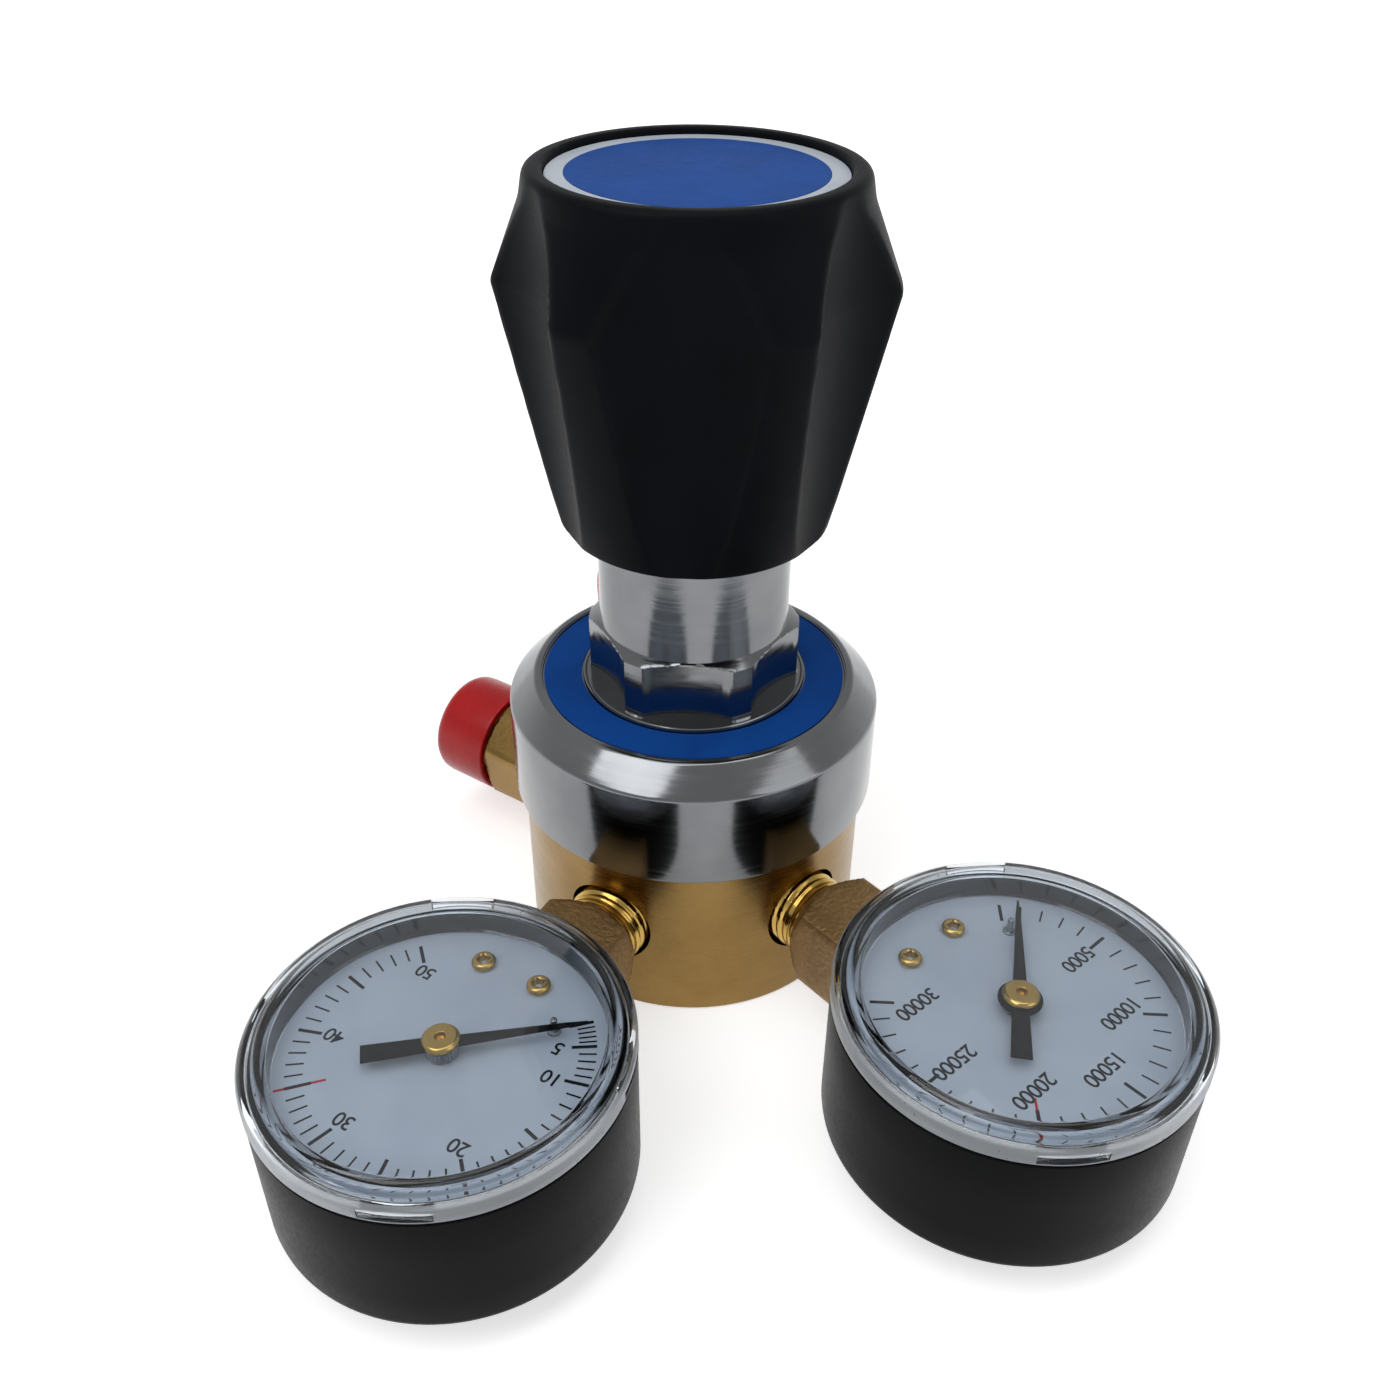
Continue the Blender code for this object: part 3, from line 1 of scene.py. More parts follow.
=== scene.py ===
"""Looks of a single-stage gas pressure regulator with a flow gauge and a contents gauge.

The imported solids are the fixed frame. Every surface that shows is rebuilt here with its real
roundings, threads, print and finish, on the same axes and to the same sizes.
"""

import logging
import math
from dataclasses import dataclass, field
from enum import Enum
from functools import cache
from typing import Callable, Iterable, Sequence

import bmesh
import bpy
from bmesh.types import BMVert, BMesh
from bpy.types import ID, Material, Mesh, Node, NodeSocket, NodeTree, Object
from mathutils import Matrix, Vector

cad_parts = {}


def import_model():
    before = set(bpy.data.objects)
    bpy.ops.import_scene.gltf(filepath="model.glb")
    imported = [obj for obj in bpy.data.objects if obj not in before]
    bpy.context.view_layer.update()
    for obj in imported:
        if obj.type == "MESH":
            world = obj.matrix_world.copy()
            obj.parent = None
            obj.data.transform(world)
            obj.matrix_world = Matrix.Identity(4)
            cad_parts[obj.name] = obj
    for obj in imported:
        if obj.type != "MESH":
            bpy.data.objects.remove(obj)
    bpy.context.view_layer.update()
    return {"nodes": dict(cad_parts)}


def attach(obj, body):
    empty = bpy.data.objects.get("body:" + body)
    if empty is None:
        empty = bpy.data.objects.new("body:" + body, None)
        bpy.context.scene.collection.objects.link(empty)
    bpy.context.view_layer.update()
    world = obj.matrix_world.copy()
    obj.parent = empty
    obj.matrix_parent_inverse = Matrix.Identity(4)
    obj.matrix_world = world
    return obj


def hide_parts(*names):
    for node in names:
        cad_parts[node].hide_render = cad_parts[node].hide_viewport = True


LOG = logging.getLogger("regulator")
MM = 0.001

# The layout that all pieces share, in millimetres and degrees
GAUGE_DISTANCE = 69.3
GAUGE_SPREAD = 34.5
PORT_Z = 16.3
INLET_AZIMUTH = 90.0
OUTLET_AZIMUTH = 139.7
DIAL_SCREW_R = 16.5
DIAL_SCREW_TURN = 16.5

# Coarse clouds of the second colour, about 11 mm across, and what shows where an edge is rubbed
CLOUDS_PER_METRE = 90.0
RUBBED_COLOUR = "#8A8C90"

# G 1/4 thread of the gauges and the outlet: 13.1 mm over its crests, 19 turns to the inch
QUARTER_R = 6.55
QUARTER_PITCH = 1.34

# A fillet takes at most this share of each side, and a nut's chamfer starts at this share of a flat
FILLET_SHARE = 0.48
CHAMFER_SHARE = 0.97

CRISP_ANGLE = 35.0
WHITE = (1.0, 1.0, 1.0, 1.0)

Point2 = tuple[float, float]
Point3 = tuple[float, float, float]
Corner = tuple[float, ...]
Radius = Callable[[float], float]
Row = tuple[Radius | float, float]


class Pattern(Enum):
    """What the making of a surface leaves on it."""

    SMOOTH = "smooth"
    TURNED = "turned"
    GRAIN = "grain"
    CAST = "cast"
    BRUSHED = "brushed"


def linear(hex_colour: str) -> tuple[float, float, float, float]:
    """Turn an sRGB hex colour into linear RGBA.

    Args:
        hex_colour: The colour as "#RRGGBB".

    Returns:
        Linear red, green, blue and an alpha of 1.
    """
    parts = [int(hex_colour[i:i + 2], 16) / 255 for i in (1, 3, 5)]
    values = [c / 12.92 if c <= 0.04045 else ((c + 0.055) / 1.055) ** 2.4 for c in parts]
    return (values[0], values[1], values[2], 1.0)


def add_node(tree: NodeTree, kind: str, settings: dict[str, object] | None = None,
             links: dict[str | int, NodeSocket] | None = None) -> Node:
    """Add a node with its settings and links.

    Args:
        tree: The material's node tree.
        kind: The node's type name without its "ShaderNode" prefix.
        settings: Attributes, or input values where the name is an input's.
        links: Sockets to plug into the node's inputs, by input name or number.

    Returns:
        The new node.
    """
    node = tree.nodes.new("ShaderNode" + kind)
    for key, value in (settings or {}).items():
        if key in node.inputs:
            node.inputs[key].default_value = value
        else:
            setattr(node, key, value)
    for key, socket in (links or {}).items():
        tree.links.new(socket, node.inputs[key])
    return node


def empty_tree(owner: ID) -> NodeTree:
    """Return a material's or world's node tree, with nothing in it.

    Args:
        owner: What the tree belongs to.

    Returns:
        The tree.
    """
    owner.use_nodes = True
    owner.node_tree.nodes.clear()
    return owner.node_tree


@dataclass(frozen=True)
class Finish:
    """A material named for the real one, with the marks of how its surface was made."""

    name: str
    colour: str
    second: str
    roughness: float
    spread: float = 0.05
    metallic: float = 0.0
    pattern: Pattern = Pattern.SMOOTH
    size_mm: float = 1.0
    bump: float = 0.1
    ior: float = 1.5
    transmission: float = 0.0
    subsurface: float = 0.0
    wear: float = 0.0
    specular: float = 0.5

    def vector(self, tree: NodeTree) -> NodeSocket:
        """Return the pattern's coordinates, stretched as the tool marks run.

        Args:
            tree: The material's node tree.

        Returns:
            A vector socket in units of the pattern's real size.
        """
        place = add_node(tree, "TexCoord").outputs["Object"]
        scale = 1 / (self.size_mm * MM)
        if self.pattern is Pattern.TURNED:
            apart = add_node(tree, "SeparateXYZ", links={0: place})
            flat = add_node(tree, "CombineXYZ", links={0: apart.outputs[0], 1: apart.outputs[1]})
            out = add_node(tree, "VectorMath", {"operation": "LENGTH"}, {0: flat.outputs[0]})
            ring = add_node(tree, "CombineXYZ", links={0: out.outputs["Value"],
                                                      2: apart.outputs[2]})
            return add_node(tree, "VectorMath", {"operation": "SCALE", "Scale": scale},
                            {0: ring.outputs[0]}).outputs[0]
        stretch = (scale, scale, scale)
        if self.pattern is Pattern.BRUSHED:
            stretch = (scale, scale, scale * 0.04)
        return add_node(tree, "Mapping", {"Scale": stretch}, {"Vector": place}).outputs[0]

    @cache
    def build(self) -> Material:
        """Make the node material, once for each finish.

        Returns:
            The material, ready to assign.
        """
        mat = bpy.data.materials.new(self.name)
        tree = empty_tree(mat)
        shader = add_node(tree, "BsdfPrincipled", {
            "Metallic": self.metallic, "IOR": self.ior, "Transmission Weight": self.transmission,
            "Subsurface Weight": self.subsurface, "Subsurface Scale": 0.8 * MM,
            "Specular IOR Level": self.specular})
        add_node(tree, "OutputMaterial", links={"Surface": shader.outputs[0]})
        grain = add_node(tree, "TexNoise", {"Scale": 1.0, "Detail": 4.0, "Roughness": 0.6},
                         {"Vector": self.vector(tree)})
        place = add_node(tree, "TexCoord").outputs["Object"]
        cloud = add_node(tree, "TexNoise", {"Scale": CLOUDS_PER_METRE, "Detail": 3.0},
                         {"Vector": place})
        blend = add_node(tree, "MapRange", {"From Min": 0.38, "From Max": 0.66},
                         {"Value": cloud.outputs[0]})
        colour = add_node(tree, "Mix", {"data_type": "RGBA"}, {0: blend.outputs[0]})
        colour.inputs[6].default_value = linear(self.colour)
        colour.inputs[7].default_value = linear(self.second)
        result = colour.outputs[2]
        if self.wear > 0.0:
            edge = add_node(tree, "NewGeometry").outputs["Pointiness"]
            rub = add_node(tree, "MapRange", {"From Min": 0.505, "From Max": 0.56,
                                              "To Max": self.wear}, {"Value": edge})
            worn = add_node(tree, "Mix", {"data_type": "RGBA"}, {0: rub.outputs[0], 6: result})
            worn.inputs[7].default_value = linear(RUBBED_COLOUR)
            result = worn.outputs[2]
        tree.links.new(result, shader.inputs["Base Color"])
        rough = add_node(tree, "MapRange", {"From Min": 0.3, "From Max": 0.7,
                                            "To Min": max(self.roughness - self.spread, 0.0),
                                            "To Max": self.roughness + self.spread},
                         {"Value": grain.outputs[0]})
        tree.links.new(rough.outputs[0], shader.inputs["Roughness"])
        if self.bump > 0.0:
            raised = add_node(tree, "Bump", {"Strength": self.bump,
                                             "Distance": self.size_mm * MM * 0.25},
                              {"Height": grain.outputs[0]})
            tree.links.new(raised.outputs[0], shader.inputs["Normal"])
        return mat


# Turned free-cutting brass: warm gold, feed marks of 0.22 mm that draw its reflections upwards
BODY_BRASS = Finish("turned_brass", "#937646", "#876B3D", 0.27, 0.07, 1.0, Pattern.TURNED, 0.22,
                    0.16)
# Freshly cut brass thread: yellower and shinier than the turned body
BRIGHT_BRASS = Finish("bright_brass", "#CBA85C", "#B7954C", 0.18, 0.05, 1.0, Pattern.TURNED, 0.3,
                      0.06)
# Hot-stamped brass, unpolished: dull tan with scale, its sandy grain drawn at 0.8 mm so it shows
STAMPED_BRASS = Finish("stamped_brass", "#97794E", "#7D6340", 0.46, 0.1, 0.9, Pattern.CAST, 0.8,
                       1.0)
# Chrome plate over a ground forging: bright, with slightly soft reflections and faint waves
CHROME = Finish("chrome_plate", "#808284", "#76787B", 0.14, 0.05, 1.0, Pattern.TURNED, 0.8, 0.06)
# Moulded black ABS, satin, a trace greyer where hands rub its edges. The mould's spark-eroded
# grain is finer than a pixel and is drawn at 0.18 mm
KNOB_ABS = Finish("black_abs", "#0C0F14", "#090B0F", 0.45, 0.08, 0.0, Pattern.GRAIN, 0.18, 0.1,
                  wear=0.02, specular=0.04)
# Black stove enamel on the pressed steel case: smooth and a little glossy
CASE_ENAMEL = Finish("black_enamel", "#101112", "#0D0E0F", 0.34, 0.06, 0.0, Pattern.GRAIN, 0.6,
                     0.05, specular=0.04)
# Printed polyester label: royal blue under a clear layer, flat and even
LABEL_BLUE = Finish("label_blue", "#174E9F", "#154792", 0.42, 0.04, bump=0.01, specular=0.02)
# The label's unprinted border: a cool off-white
LABEL_WHITE = Finish("label_white", "#C4CCD6", "#BAC3CE", 0.35, 0.04, bump=0.01, specular=0.1)
# Dipped soft PVC of the caps: saturated red, rippled gloss, lets a little light in
CAP_PVC = Finish("red_pvc", "#C01419", "#AE0F14", 0.28, 0.05, 0.0, Pattern.GRAIN, 1.2, 0.04,
                 subsurface=0.05, specular=0.35)
# White lacquer on the aluminium dial, a cold white
DIAL_LACQUER = Finish("dial_lacquer", "#CCD5E1", "#C4CDDA", 0.4, bump=0.01, specular=0.3)
# Screen-printed inks on the dial: matt and dense
DIAL_BLACK = Finish("dial_black_ink", "#101114", "#16171A", 0.5, bump=0.0, specular=0.2)
DIAL_RED = Finish("dial_red_ink", "#C8262B", "#BC2025", 0.5, bump=0.0, specular=0.2)
# Clear moulded polycarbonate from a polished mould
LENS_CLEAR = Finish("clear_polycarbonate", "#F4F8FC", "#F1F6FB", 0.02, 0.01, size_mm=2.0,
                    bump=0.0, ior=1.49, transmission=1.0, specular=0.2)
# The same plastic where the skirt's mould is matt: smooth, milky and half see-through
LENS_RIM = Finish("matt_polycarbonate", "#D2D8DE", "#CAD0D7", 0.32, 0.05, 0.0, Pattern.GRAIN,
                  1.5, 0.0, ior=1.45, transmission=0.6, specular=0.3)
# Black lacquer on the stamped aluminium pointer: matt, with a soft sheen along its edges
POINTER_BLACK = Finish("pointer_lacquer", "#0F1013", "#141519", 0.5, 0.05, 0.0, Pattern.GRAIN,
                       0.4, 0.04, specular=0.1)
# Zinc-plated steel, drawn: cool grey, slightly cloudy, with fine lines
ZINC_STEEL = Finish("zinc_steel", "#A4A8AC", "#8E9298", 0.3, 0.08, 1.0, Pattern.BRUSHED, 0.3, 0.1)
# Nitrile rubber: dull and near black
RUBBER = Finish("nitrile_rubber", "#1A1A1B", "#131314", 0.62, 0.06, 0.0, Pattern.GRAIN, 0.3, 0.1)
# Moulded nylon: waxy ivory
NYLON = Finish("nylon", "#D8D2C1", "#CFC8B5", 0.45, 0.05, 0.0, Pattern.GRAIN, 0.4, 0.05)
# Turned aluminium: pale grey with a silky ring sheen
ALUMINIUM = Finish("turned_aluminium", "#B9BCBF", "#AEB1B5", 0.3, 0.06, 1.0, Pattern.TURNED, 0.25,
                   0.12)
# Drawn phosphor bronze: reddish gold with fine lines along it
BRONZE = Finish("phosphor_bronze", "#A9764A", "#98683E", 0.32, 0.06, 1.0, Pattern.BRUSHED, 0.4,
                0.08)


def at(x: float, y: float, z: float = 0.0, turn: float = 0.0) -> Matrix:
    """Return a place in millimetres, turned about Z in degrees."""
    move = Matrix.Translation((x * MM, y * MM, z * MM))
    return move @ Matrix.Rotation(math.radians(turn), 4, "Z")


def around(radius: float, turn: float) -> Point2:
    """Return the point at a radius and at a direction in degrees."""
    return radius * math.cos(math.radians(turn)), radius * math.sin(math.radians(turn))


def port(azimuth: float) -> Matrix:
    """Return the place whose Z runs out of the body at an azimuth, with X up.

    Args:
        azimuth: Degrees from +X, counter-clockwise from above.

    Returns:
        The matrix, its origin on the body's axis at the ports' height.
    """
    out = Vector((*around(1.0, azimuth), 0))
    up = Vector((0, 0, 1))
    matrix = Matrix((up, out.cross(up), out)).transposed().to_4x4()
    matrix.translation = Vector((0, 0, PORT_Z * MM))
    return matrix


def smooth(mesh: Mesh, angle: float = CRISP_ANGLE) -> None:
    """Shade a mesh smooth, with edges sharper than the angle left crisp."""
    mesh.shade_smooth()
    mesh.set_sharp_from_angle(angle=math.radians(angle))


def put(name: str, data: ID, place: Matrix | None = None) -> Object:
    """Put a new object into the scene.

    Args:
        name: Its name.
        data: Its mesh, text, lamp or camera.
        place: Its place; the origin by default.

    Returns:
        The new object.
    """
    obj = bpy.data.objects.new(name, data)
    bpy.context.scene.collection.objects.link(obj)
    obj.matrix_world = place or Matrix()
    return obj


def make(name: str, bm: BMesh, finish: Finish, place: Matrix | None = None,
         angle: float = CRISP_ANGLE) -> Object:
    """Turn a bmesh into an object with its finish.

    Args:
        name: The object's name.
        bm: The geometry, which this frees.
        finish: Its finish.
        place: Its place; the origin by default.
        angle: Edges sharper than this, in degrees, stay crisp.

    Returns:
        The new object.
    """
    bmesh.ops.recalc_face_normals(bm, faces=bm.faces)
    mesh = bpy.data.meshes.new(name)
    bm.to_mesh(mesh)
    bm.free()
    smooth(mesh, angle)
    mesh.materials.append(finish.build())
    return put(name, mesh, place)


def filleted(corners: Sequence[Corner], closed: bool, steps: int = 4) -> list[Point2]:
    """Round the corners of an outline.

    Args:
        corners: Points (x, y) or (x, y, fillet radius), in millimetres.
        closed: Whether the last point joins the first.
        steps: Segments in each fillet.

    Returns:
        The outline's points, in millimetres.
    """
    points: list[Point2] = []
    count = len(corners)
    for i, corner in enumerate(corners):
        here = Vector(corner[:2])
        radius = corner[2] if len(corner) > 2 else 0.0
        if radius <= 0.0 or (not closed and i in (0, count - 1)):
            points.append((here.x, here.y))
            continue
        before = Vector(corners[i - 1][:2]) - here
        after = Vector(corners[(i + 1) % count][:2]) - here
        reach = min(radius, FILLET_SHARE * before.length, FILLET_SHARE * after.length)
        start = here + before.normalized() * reach
        end = here + after.normalized() * reach
        for k in range(steps + 1):
            t = k / steps
            spot = start * (1 - t) ** 2 + here * 2 * t * (1 - t) + end * t * t
            points.append((spot.x, spot.y))
    return points


def lofted(name: str, rows: Iterable[Row], finish: Finish, place: Matrix | None = None,
           steps: int = 96, closed: bool = True, turn: float = 0.0,
           angle: float = CRISP_ANGLE) -> Object:
    """Loft rings about Z whose radius may change with the angle.

    Args:
        name: The object's name.
        rows: Each ring's radius, a number or a function of the angle in radians, and height,
            in millimetres. A radius of 0 closes that end on the axis.
        finish: Its finish.
        place: Its place; the origin by default.
        steps: Points round each ring.
        closed: Whether the last ring joins the first.
        turn: Degrees that the rings' first point is turned.
        angle: Edges sharper than this, in degrees, stay crisp.

    Returns:
        The new object.
    """
    bm = bmesh.new()
    rings: list[list[BMVert]] = []
    for radius, height in rows:
        if radius == 0.0:
            rings.append([bm.verts.new((0, 0, height * MM))])
            continue
        ring = []
        for i in range(steps):
            way = 2 * math.pi * i / steps + math.radians(turn)
            r = radius(way) if callable(radius) else radius
            ring.append(bm.verts.new((r * MM * math.cos(way), r * MM * math.sin(way),
                                      height * MM)))
        rings.append(ring)
    pairs = list(zip(rings, rings[1:]))
    if closed:
        pairs.append((rings[-1], rings[0]))
    for low, high in pairs:
        for i in range(steps):
            j = (i + 1) % steps
            if len(low) == 1 and len(high) == 1:
                break
            if len(low) == 1:
                bm.faces.new((low[0], high[j], high[i]))
            elif len(high) == 1:
                bm.faces.new((low[i], low[j], high[0]))
            else:
                bm.faces.new((low[i], low[j], high[j], high[i]))
    return make(name, bm, finish, place, angle)


def turned(name: str, corners: Sequence[Corner], finish: Finish, place: Matrix | None = None,
           steps: int = 96) -> Object:
    """Turn a rounded profile about Z.

    Args:
        name: The object's name.
        corners: (radius, height) or (radius, height, fillet), in millimetres. A profile that
            starts and ends on the axis is a solid; any other closes on itself.
        finish: Its finish.
        place: Its place.
        steps: Points round the axis.

    Returns:
        The new object.
    """
    solid = corners[0][0] == 0.0 and corners[-1][0] == 0.0
    return lofted(name, filleted(corners, not solid), finish, place, steps, not solid)


def off_middle(angle: float, sides: int, turn: float) -> float:
    """Return how far an angle lies from the middle of the nearest of a shape's equal sides.

    Args:
        angle: The angle, in radians.
        sides: Number of sides.
        turn: Direction of one side's middle, in degrees.

    Returns:
        The difference, in radians.
    """
    part = 2 * math.pi / sides
    return (angle - math.radians(turn) + part / 2) % part - part / 2


def polygon_radius(sides: int, apothem: float, turn: float) -> Radius:
    """Return the radius of a regular polygon as a function of the angle.

    Args:
        sides: Number of flats.
        apothem: Distance from the centre to a flat, in millimetres.
        turn: Direction of one flat, in degrees.

    Returns:
        A function from an angle in radians to a radius in millimetres.
    """
    return lambda angle: apothem / math.cos(off_middle(angle, sides, turn))


def clipped(shape: Radius, limit: float) -> Radius:
    """Return a shape's radius, held to a turned limit."""
    return lambda angle: min(shape(angle), limit)


def hexagon_rows(flats: float, turn: float, low: float, high: float,
                 both_ends: bool) -> list[Row]:
    """Rows of a nut blank whose corners are turned down at 30 degrees.

    Args:
        flats: Width across flats, in millimetres.
        turn: Direction of one flat, in degrees.
        low: Lower end.
        high: Upper end, which is chamfered.
        both_ends: Whether the lower end is chamfered too.

    Returns:
        Rows for lofted().
    """
    shape = polygon_radius(6, flats / 2, turn)
    corner = flats / 2 / math.cos(math.pi / 6)
    face = flats / 2 * CHAMFER_SHARE
    drop = (corner - face) * math.tan(math.radians(30))
    shares = [k / 5 for k in range(6)]
    rows: list[Row] = [(shape, low)]
    if both_ends:
        rows = [(clipped(shape, face + (corner - face) * s), low + drop * s) for s in shares]
    return rows + [(clipped(shape, corner - (corner - face) * s), high - drop + drop * s)
                   for s in shares]


def thread_rows(radius: float, low: float, high: float, pitch: float,
                depth: float) -> list[Row]:
    """Rows of a screw thread with rounded crests, run out at both ends.

    Args:
        radius: Crest radius, in millimetres.
        low: Lower end.
        high: Upper end.
        pitch: Height of one turn.
        depth: Depth of the groove.

    Returns:
        Rows for lofted().
    """
    rows_per_turn = 8
    count = max(int((high - low) / pitch * rows_per_turn), 2)

    def row(height: float) -> Radius:
        """Return the radius round one height, half as deep where the thread has run out."""
        fade = max(min((height - low) / pitch, (high - height) / pitch, 1.0), 0.0)

        def value(angle: float) -> float:
            """Return the radius at the angle."""
            wave = 0.5 - 0.5 * math.cos(2 * math.pi * height / pitch - angle)
            return radius - depth * (wave * fade + (1 - fade) * 0.5)

        return value

    return [(row(low + (high - low) * k / count), low + (high - low) * k / count)
            for k in range(count + 1)]


def extrude(bm: BMesh, outline: Sequence[Point2], low: float, high: float) -> None:
    """Extrude a closed outline, all in millimetres.

    Args:
        bm: The bmesh to add to.
        outline: Its points.
        low: Height of the outline.
        high: Height that it is extruded to.
    """
    face = bm.faces.new([bm.verts.new((x * MM, y * MM, low * MM)) for x, y in outline])
    grown = bmesh.ops.extrude_face_region(bm, geom=[face])
    moved = [v for v in grown["geom"] if isinstance(v, BMVert)]
    bmesh.ops.translate(bm, vec=(0, 0, (high - low) * MM), verts=moved)


def prism(name: str, outline: Sequence[Point2], low: float, high: float, finish: Finish,
          place: Matrix | None = None) -> Object:
    """Extrude a closed outline into an object of its own.

    Args:
        name: The object's name.
        outline: Its points, in millimetres.
        low: Lower end.
        high: Upper end.
        finish: Its finish.
        place: Its place.

    Returns:
        The new object.
    """
    bm = bmesh.new()
    extrude(bm, outline, low, high)
    return make(name, bm, finish, place)


def rectangle(x0: float, y0: float, x1: float, y1: float) -> list[Point2]:
    """Return the outline of a rectangle from its lowest to its highest corner."""
    return [(x0, y0), (x1, y0), (x1, y1), (x0, y1)]


def bevelled(obj: Object, width: float) -> Object:
    """Round an object's sharp edges for good.

    Args:
        obj: The object.
        width: Width of the rounding, in millimetres.

    Returns:
        The same object.
    """
    step = obj.modifiers.new("edge", "BEVEL")
    step.width = width * MM
    step.segments = 2
    step.limit_method = "ANGLE"
    step.angle_limit = math.radians(30)
    return apply_modifiers(obj)


def apply_modifiers(obj: Object) -> Object:
    """Write an object's modifiers into its mesh.

    Args:
        obj: The object.

    Returns:
        The same object.
    """
    bpy.context.view_layer.update()
    graph = bpy.context.evaluated_depsgraph_get()
    mesh = bpy.data.meshes.new_from_object(obj.evaluated_get(graph))
    obj.modifiers.clear()
    obj.data = mesh
    smooth(mesh)
    return obj


def cut(target: Object, cutter: Object) -> Object:
    """Take a cutter away from an object and remove the cutter.

    Args:
        target: The object that is cut.
        cutter: What is taken away.

    Returns:
        The cut object.
    """
    step = target.modifiers.new("cut", "BOOLEAN")
    step.operation = "DIFFERENCE"
    step.solver = "EXACT"
    step.object = cutter
    apply_modifiers(target)
    bpy.data.objects.remove(cutter, do_unlink=True)
    return target


def place_piece(obj: Object, body: str, *nodes: str) -> Object:
    """Let a piece ride on a body in place of the CAD nodes it stands for.

    Args:
        obj: The piece.
        body: The body it moves with.
        *nodes: The CAD nodes it replaces.

    Returns:
        The piece.
    """
    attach(obj, body)
    if nodes:
        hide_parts(*nodes)
    LOG.info("%s rides on %s", obj.name, body)
    return obj


@dataclass
class Body:
    """The turned brass body with its ports."""

    radius: float = 28.1
    shoulder: float = 29.0
    neck: float = 26.0
    top: float = 36.4
    chamber: float = 20.5
    floor: float = 30.5
    gauge_bore: float = 7.25
    inlet_bore: float = 8.3
    bore_ends: Point2 = (19.2, 30.0)
    courses: int = 14

    def build(self) -> None:
        """Build the body, its side in courses so that it shades evenly, and bore its ports."""
        side = [(self.radius, 0.6 + (self.shoulder - 1.2) * k / self.courses)
                for k in range(1, self.courses)]
        corners: list[Corner] = [(0.0, 0.0), (self.radius, 0.0, 0.5), *side,
                                 (self.radius, self.shoulder, 0.5), (self.neck, self.shoulder),
                                 (self.neck, self.top, 0.5), (self.chamber, self.top),
                                 (self.chamber, self.floor), (0.0, self.floor)]
        body = turned("brass_body", corners, BODY_BRASS, steps=160)
        start, end = self.bore_ends
        for azimuth, bore in ((-90 - GAUGE_SPREAD, self.gauge_bore),
                              (-90 + GAUGE_SPREAD, self.gauge_bore),
                              (INLET_AZIMUTH, self.inlet_bore), (OUTLET_AZIMUTH, self.gauge_bore)):
            drill = turned("drill", [(0.0, start), (bore, start), (bore, end), (0.0, end)],
                           BODY_BRASS, port(azimuth), 64)
            cut(body, drill)
        weigh = body.modifiers.new("even", "WEIGHTED_NORMAL")
        weigh.keep_sharp = True
        place_piece(body, "regulator", "body")


@dataclass
class Bonnet:
    """The chromed bonnet, its wrench hexagon and neck, and the ring label."""

    radius: float = 29.6
    foot: float = 29.2
    edge: float = 45.3
    top: float = 49.1
    flat: float = 25.4
    hexagon: float = 30.0
    hexagon_turn: float = -99.7
    hexagon_corner: float = 16.45
    hexagon_top: float = 58.3
    corner_rise: float = 0.58
    neck: float = 14.66
    neck_top: float = 92.0
    label_in: float = 17.9
    label_out: float = 23.9
    label_base: float = 48.6
    label_face: float = 48.82

    def hexagon_radius(self, limit: float) -> Radius:
        """Return the hexagon's radius, held to a turned limit."""
        return clipped(polygon_radius(6, self.hexagon / 2, self.hexagon_turn), limit)

    def build(self) -> None:
        """Build the bonnet and its label."""
        skirt: list[Corner] = [
            (26.3, self.foot), (self.radius, self.foot, 0.5), (self.radius, self.edge - 0.2, 0.4),
            (self.radius - 0.7, self.edge + 0.5, 0.5), (self.flat, self.top, 0.5),
            (24.45, self.top), (24.35, self.top - 0.25), (24.2, self.top - 0.25),
            (24.1, self.label_base), (17.75, self.label_base), (17.65, self.top),
            (17.35, self.top), (17.2, self.top - 0.18), (17.05, self.top)]
        rows: list[Row] = list(filleted(skirt, False))
        rows.append((self.hexagon_radius(self.hexagon_corner + 0.25), self.top))
        rows.append((self.hexagon_radius(self.hexagon_corner), self.top + 0.25))
        slope = self.hexagon_corner - self.neck
        for share in (k / 6 for k in range(7)):
            limit = self.hexagon_corner - slope * share
            rows.append((self.hexagon_radius(max(limit, self.neck + 0.02)),
                         self.hexagon_top + slope * self.corner_rise * share))
        rows += [(self.neck + 0.02, self.hexagon_top + 1.1), (self.neck, self.hexagon_top + 1.3),
                 (self.neck, self.neck_top - 0.5), (self.neck - 0.5, self.neck_top),
                 (6.1, self.neck_top), (6.1, 80.2), (12.0, 80.0), (12.0, 45.0), (26.3, 40.0)]
        bonnet = lofted("chromed_bonnet", rows, CHROME, steps=192, turn=self.hexagon_turn,
                        angle=22.0)
        place_piece(bonnet, "regulator", "bonnet")
        label = turned("ring_label", [(self.label_in, self.label_base),
                                      (self.label_out, self.label_base),
                                      (self.label_out, self.label_face, 0.05),
                                      (self.label_in, self.label_face, 0.05)], LABEL_BLUE, steps=160)
        place_piece(label, "regulator", "bonnet_label")


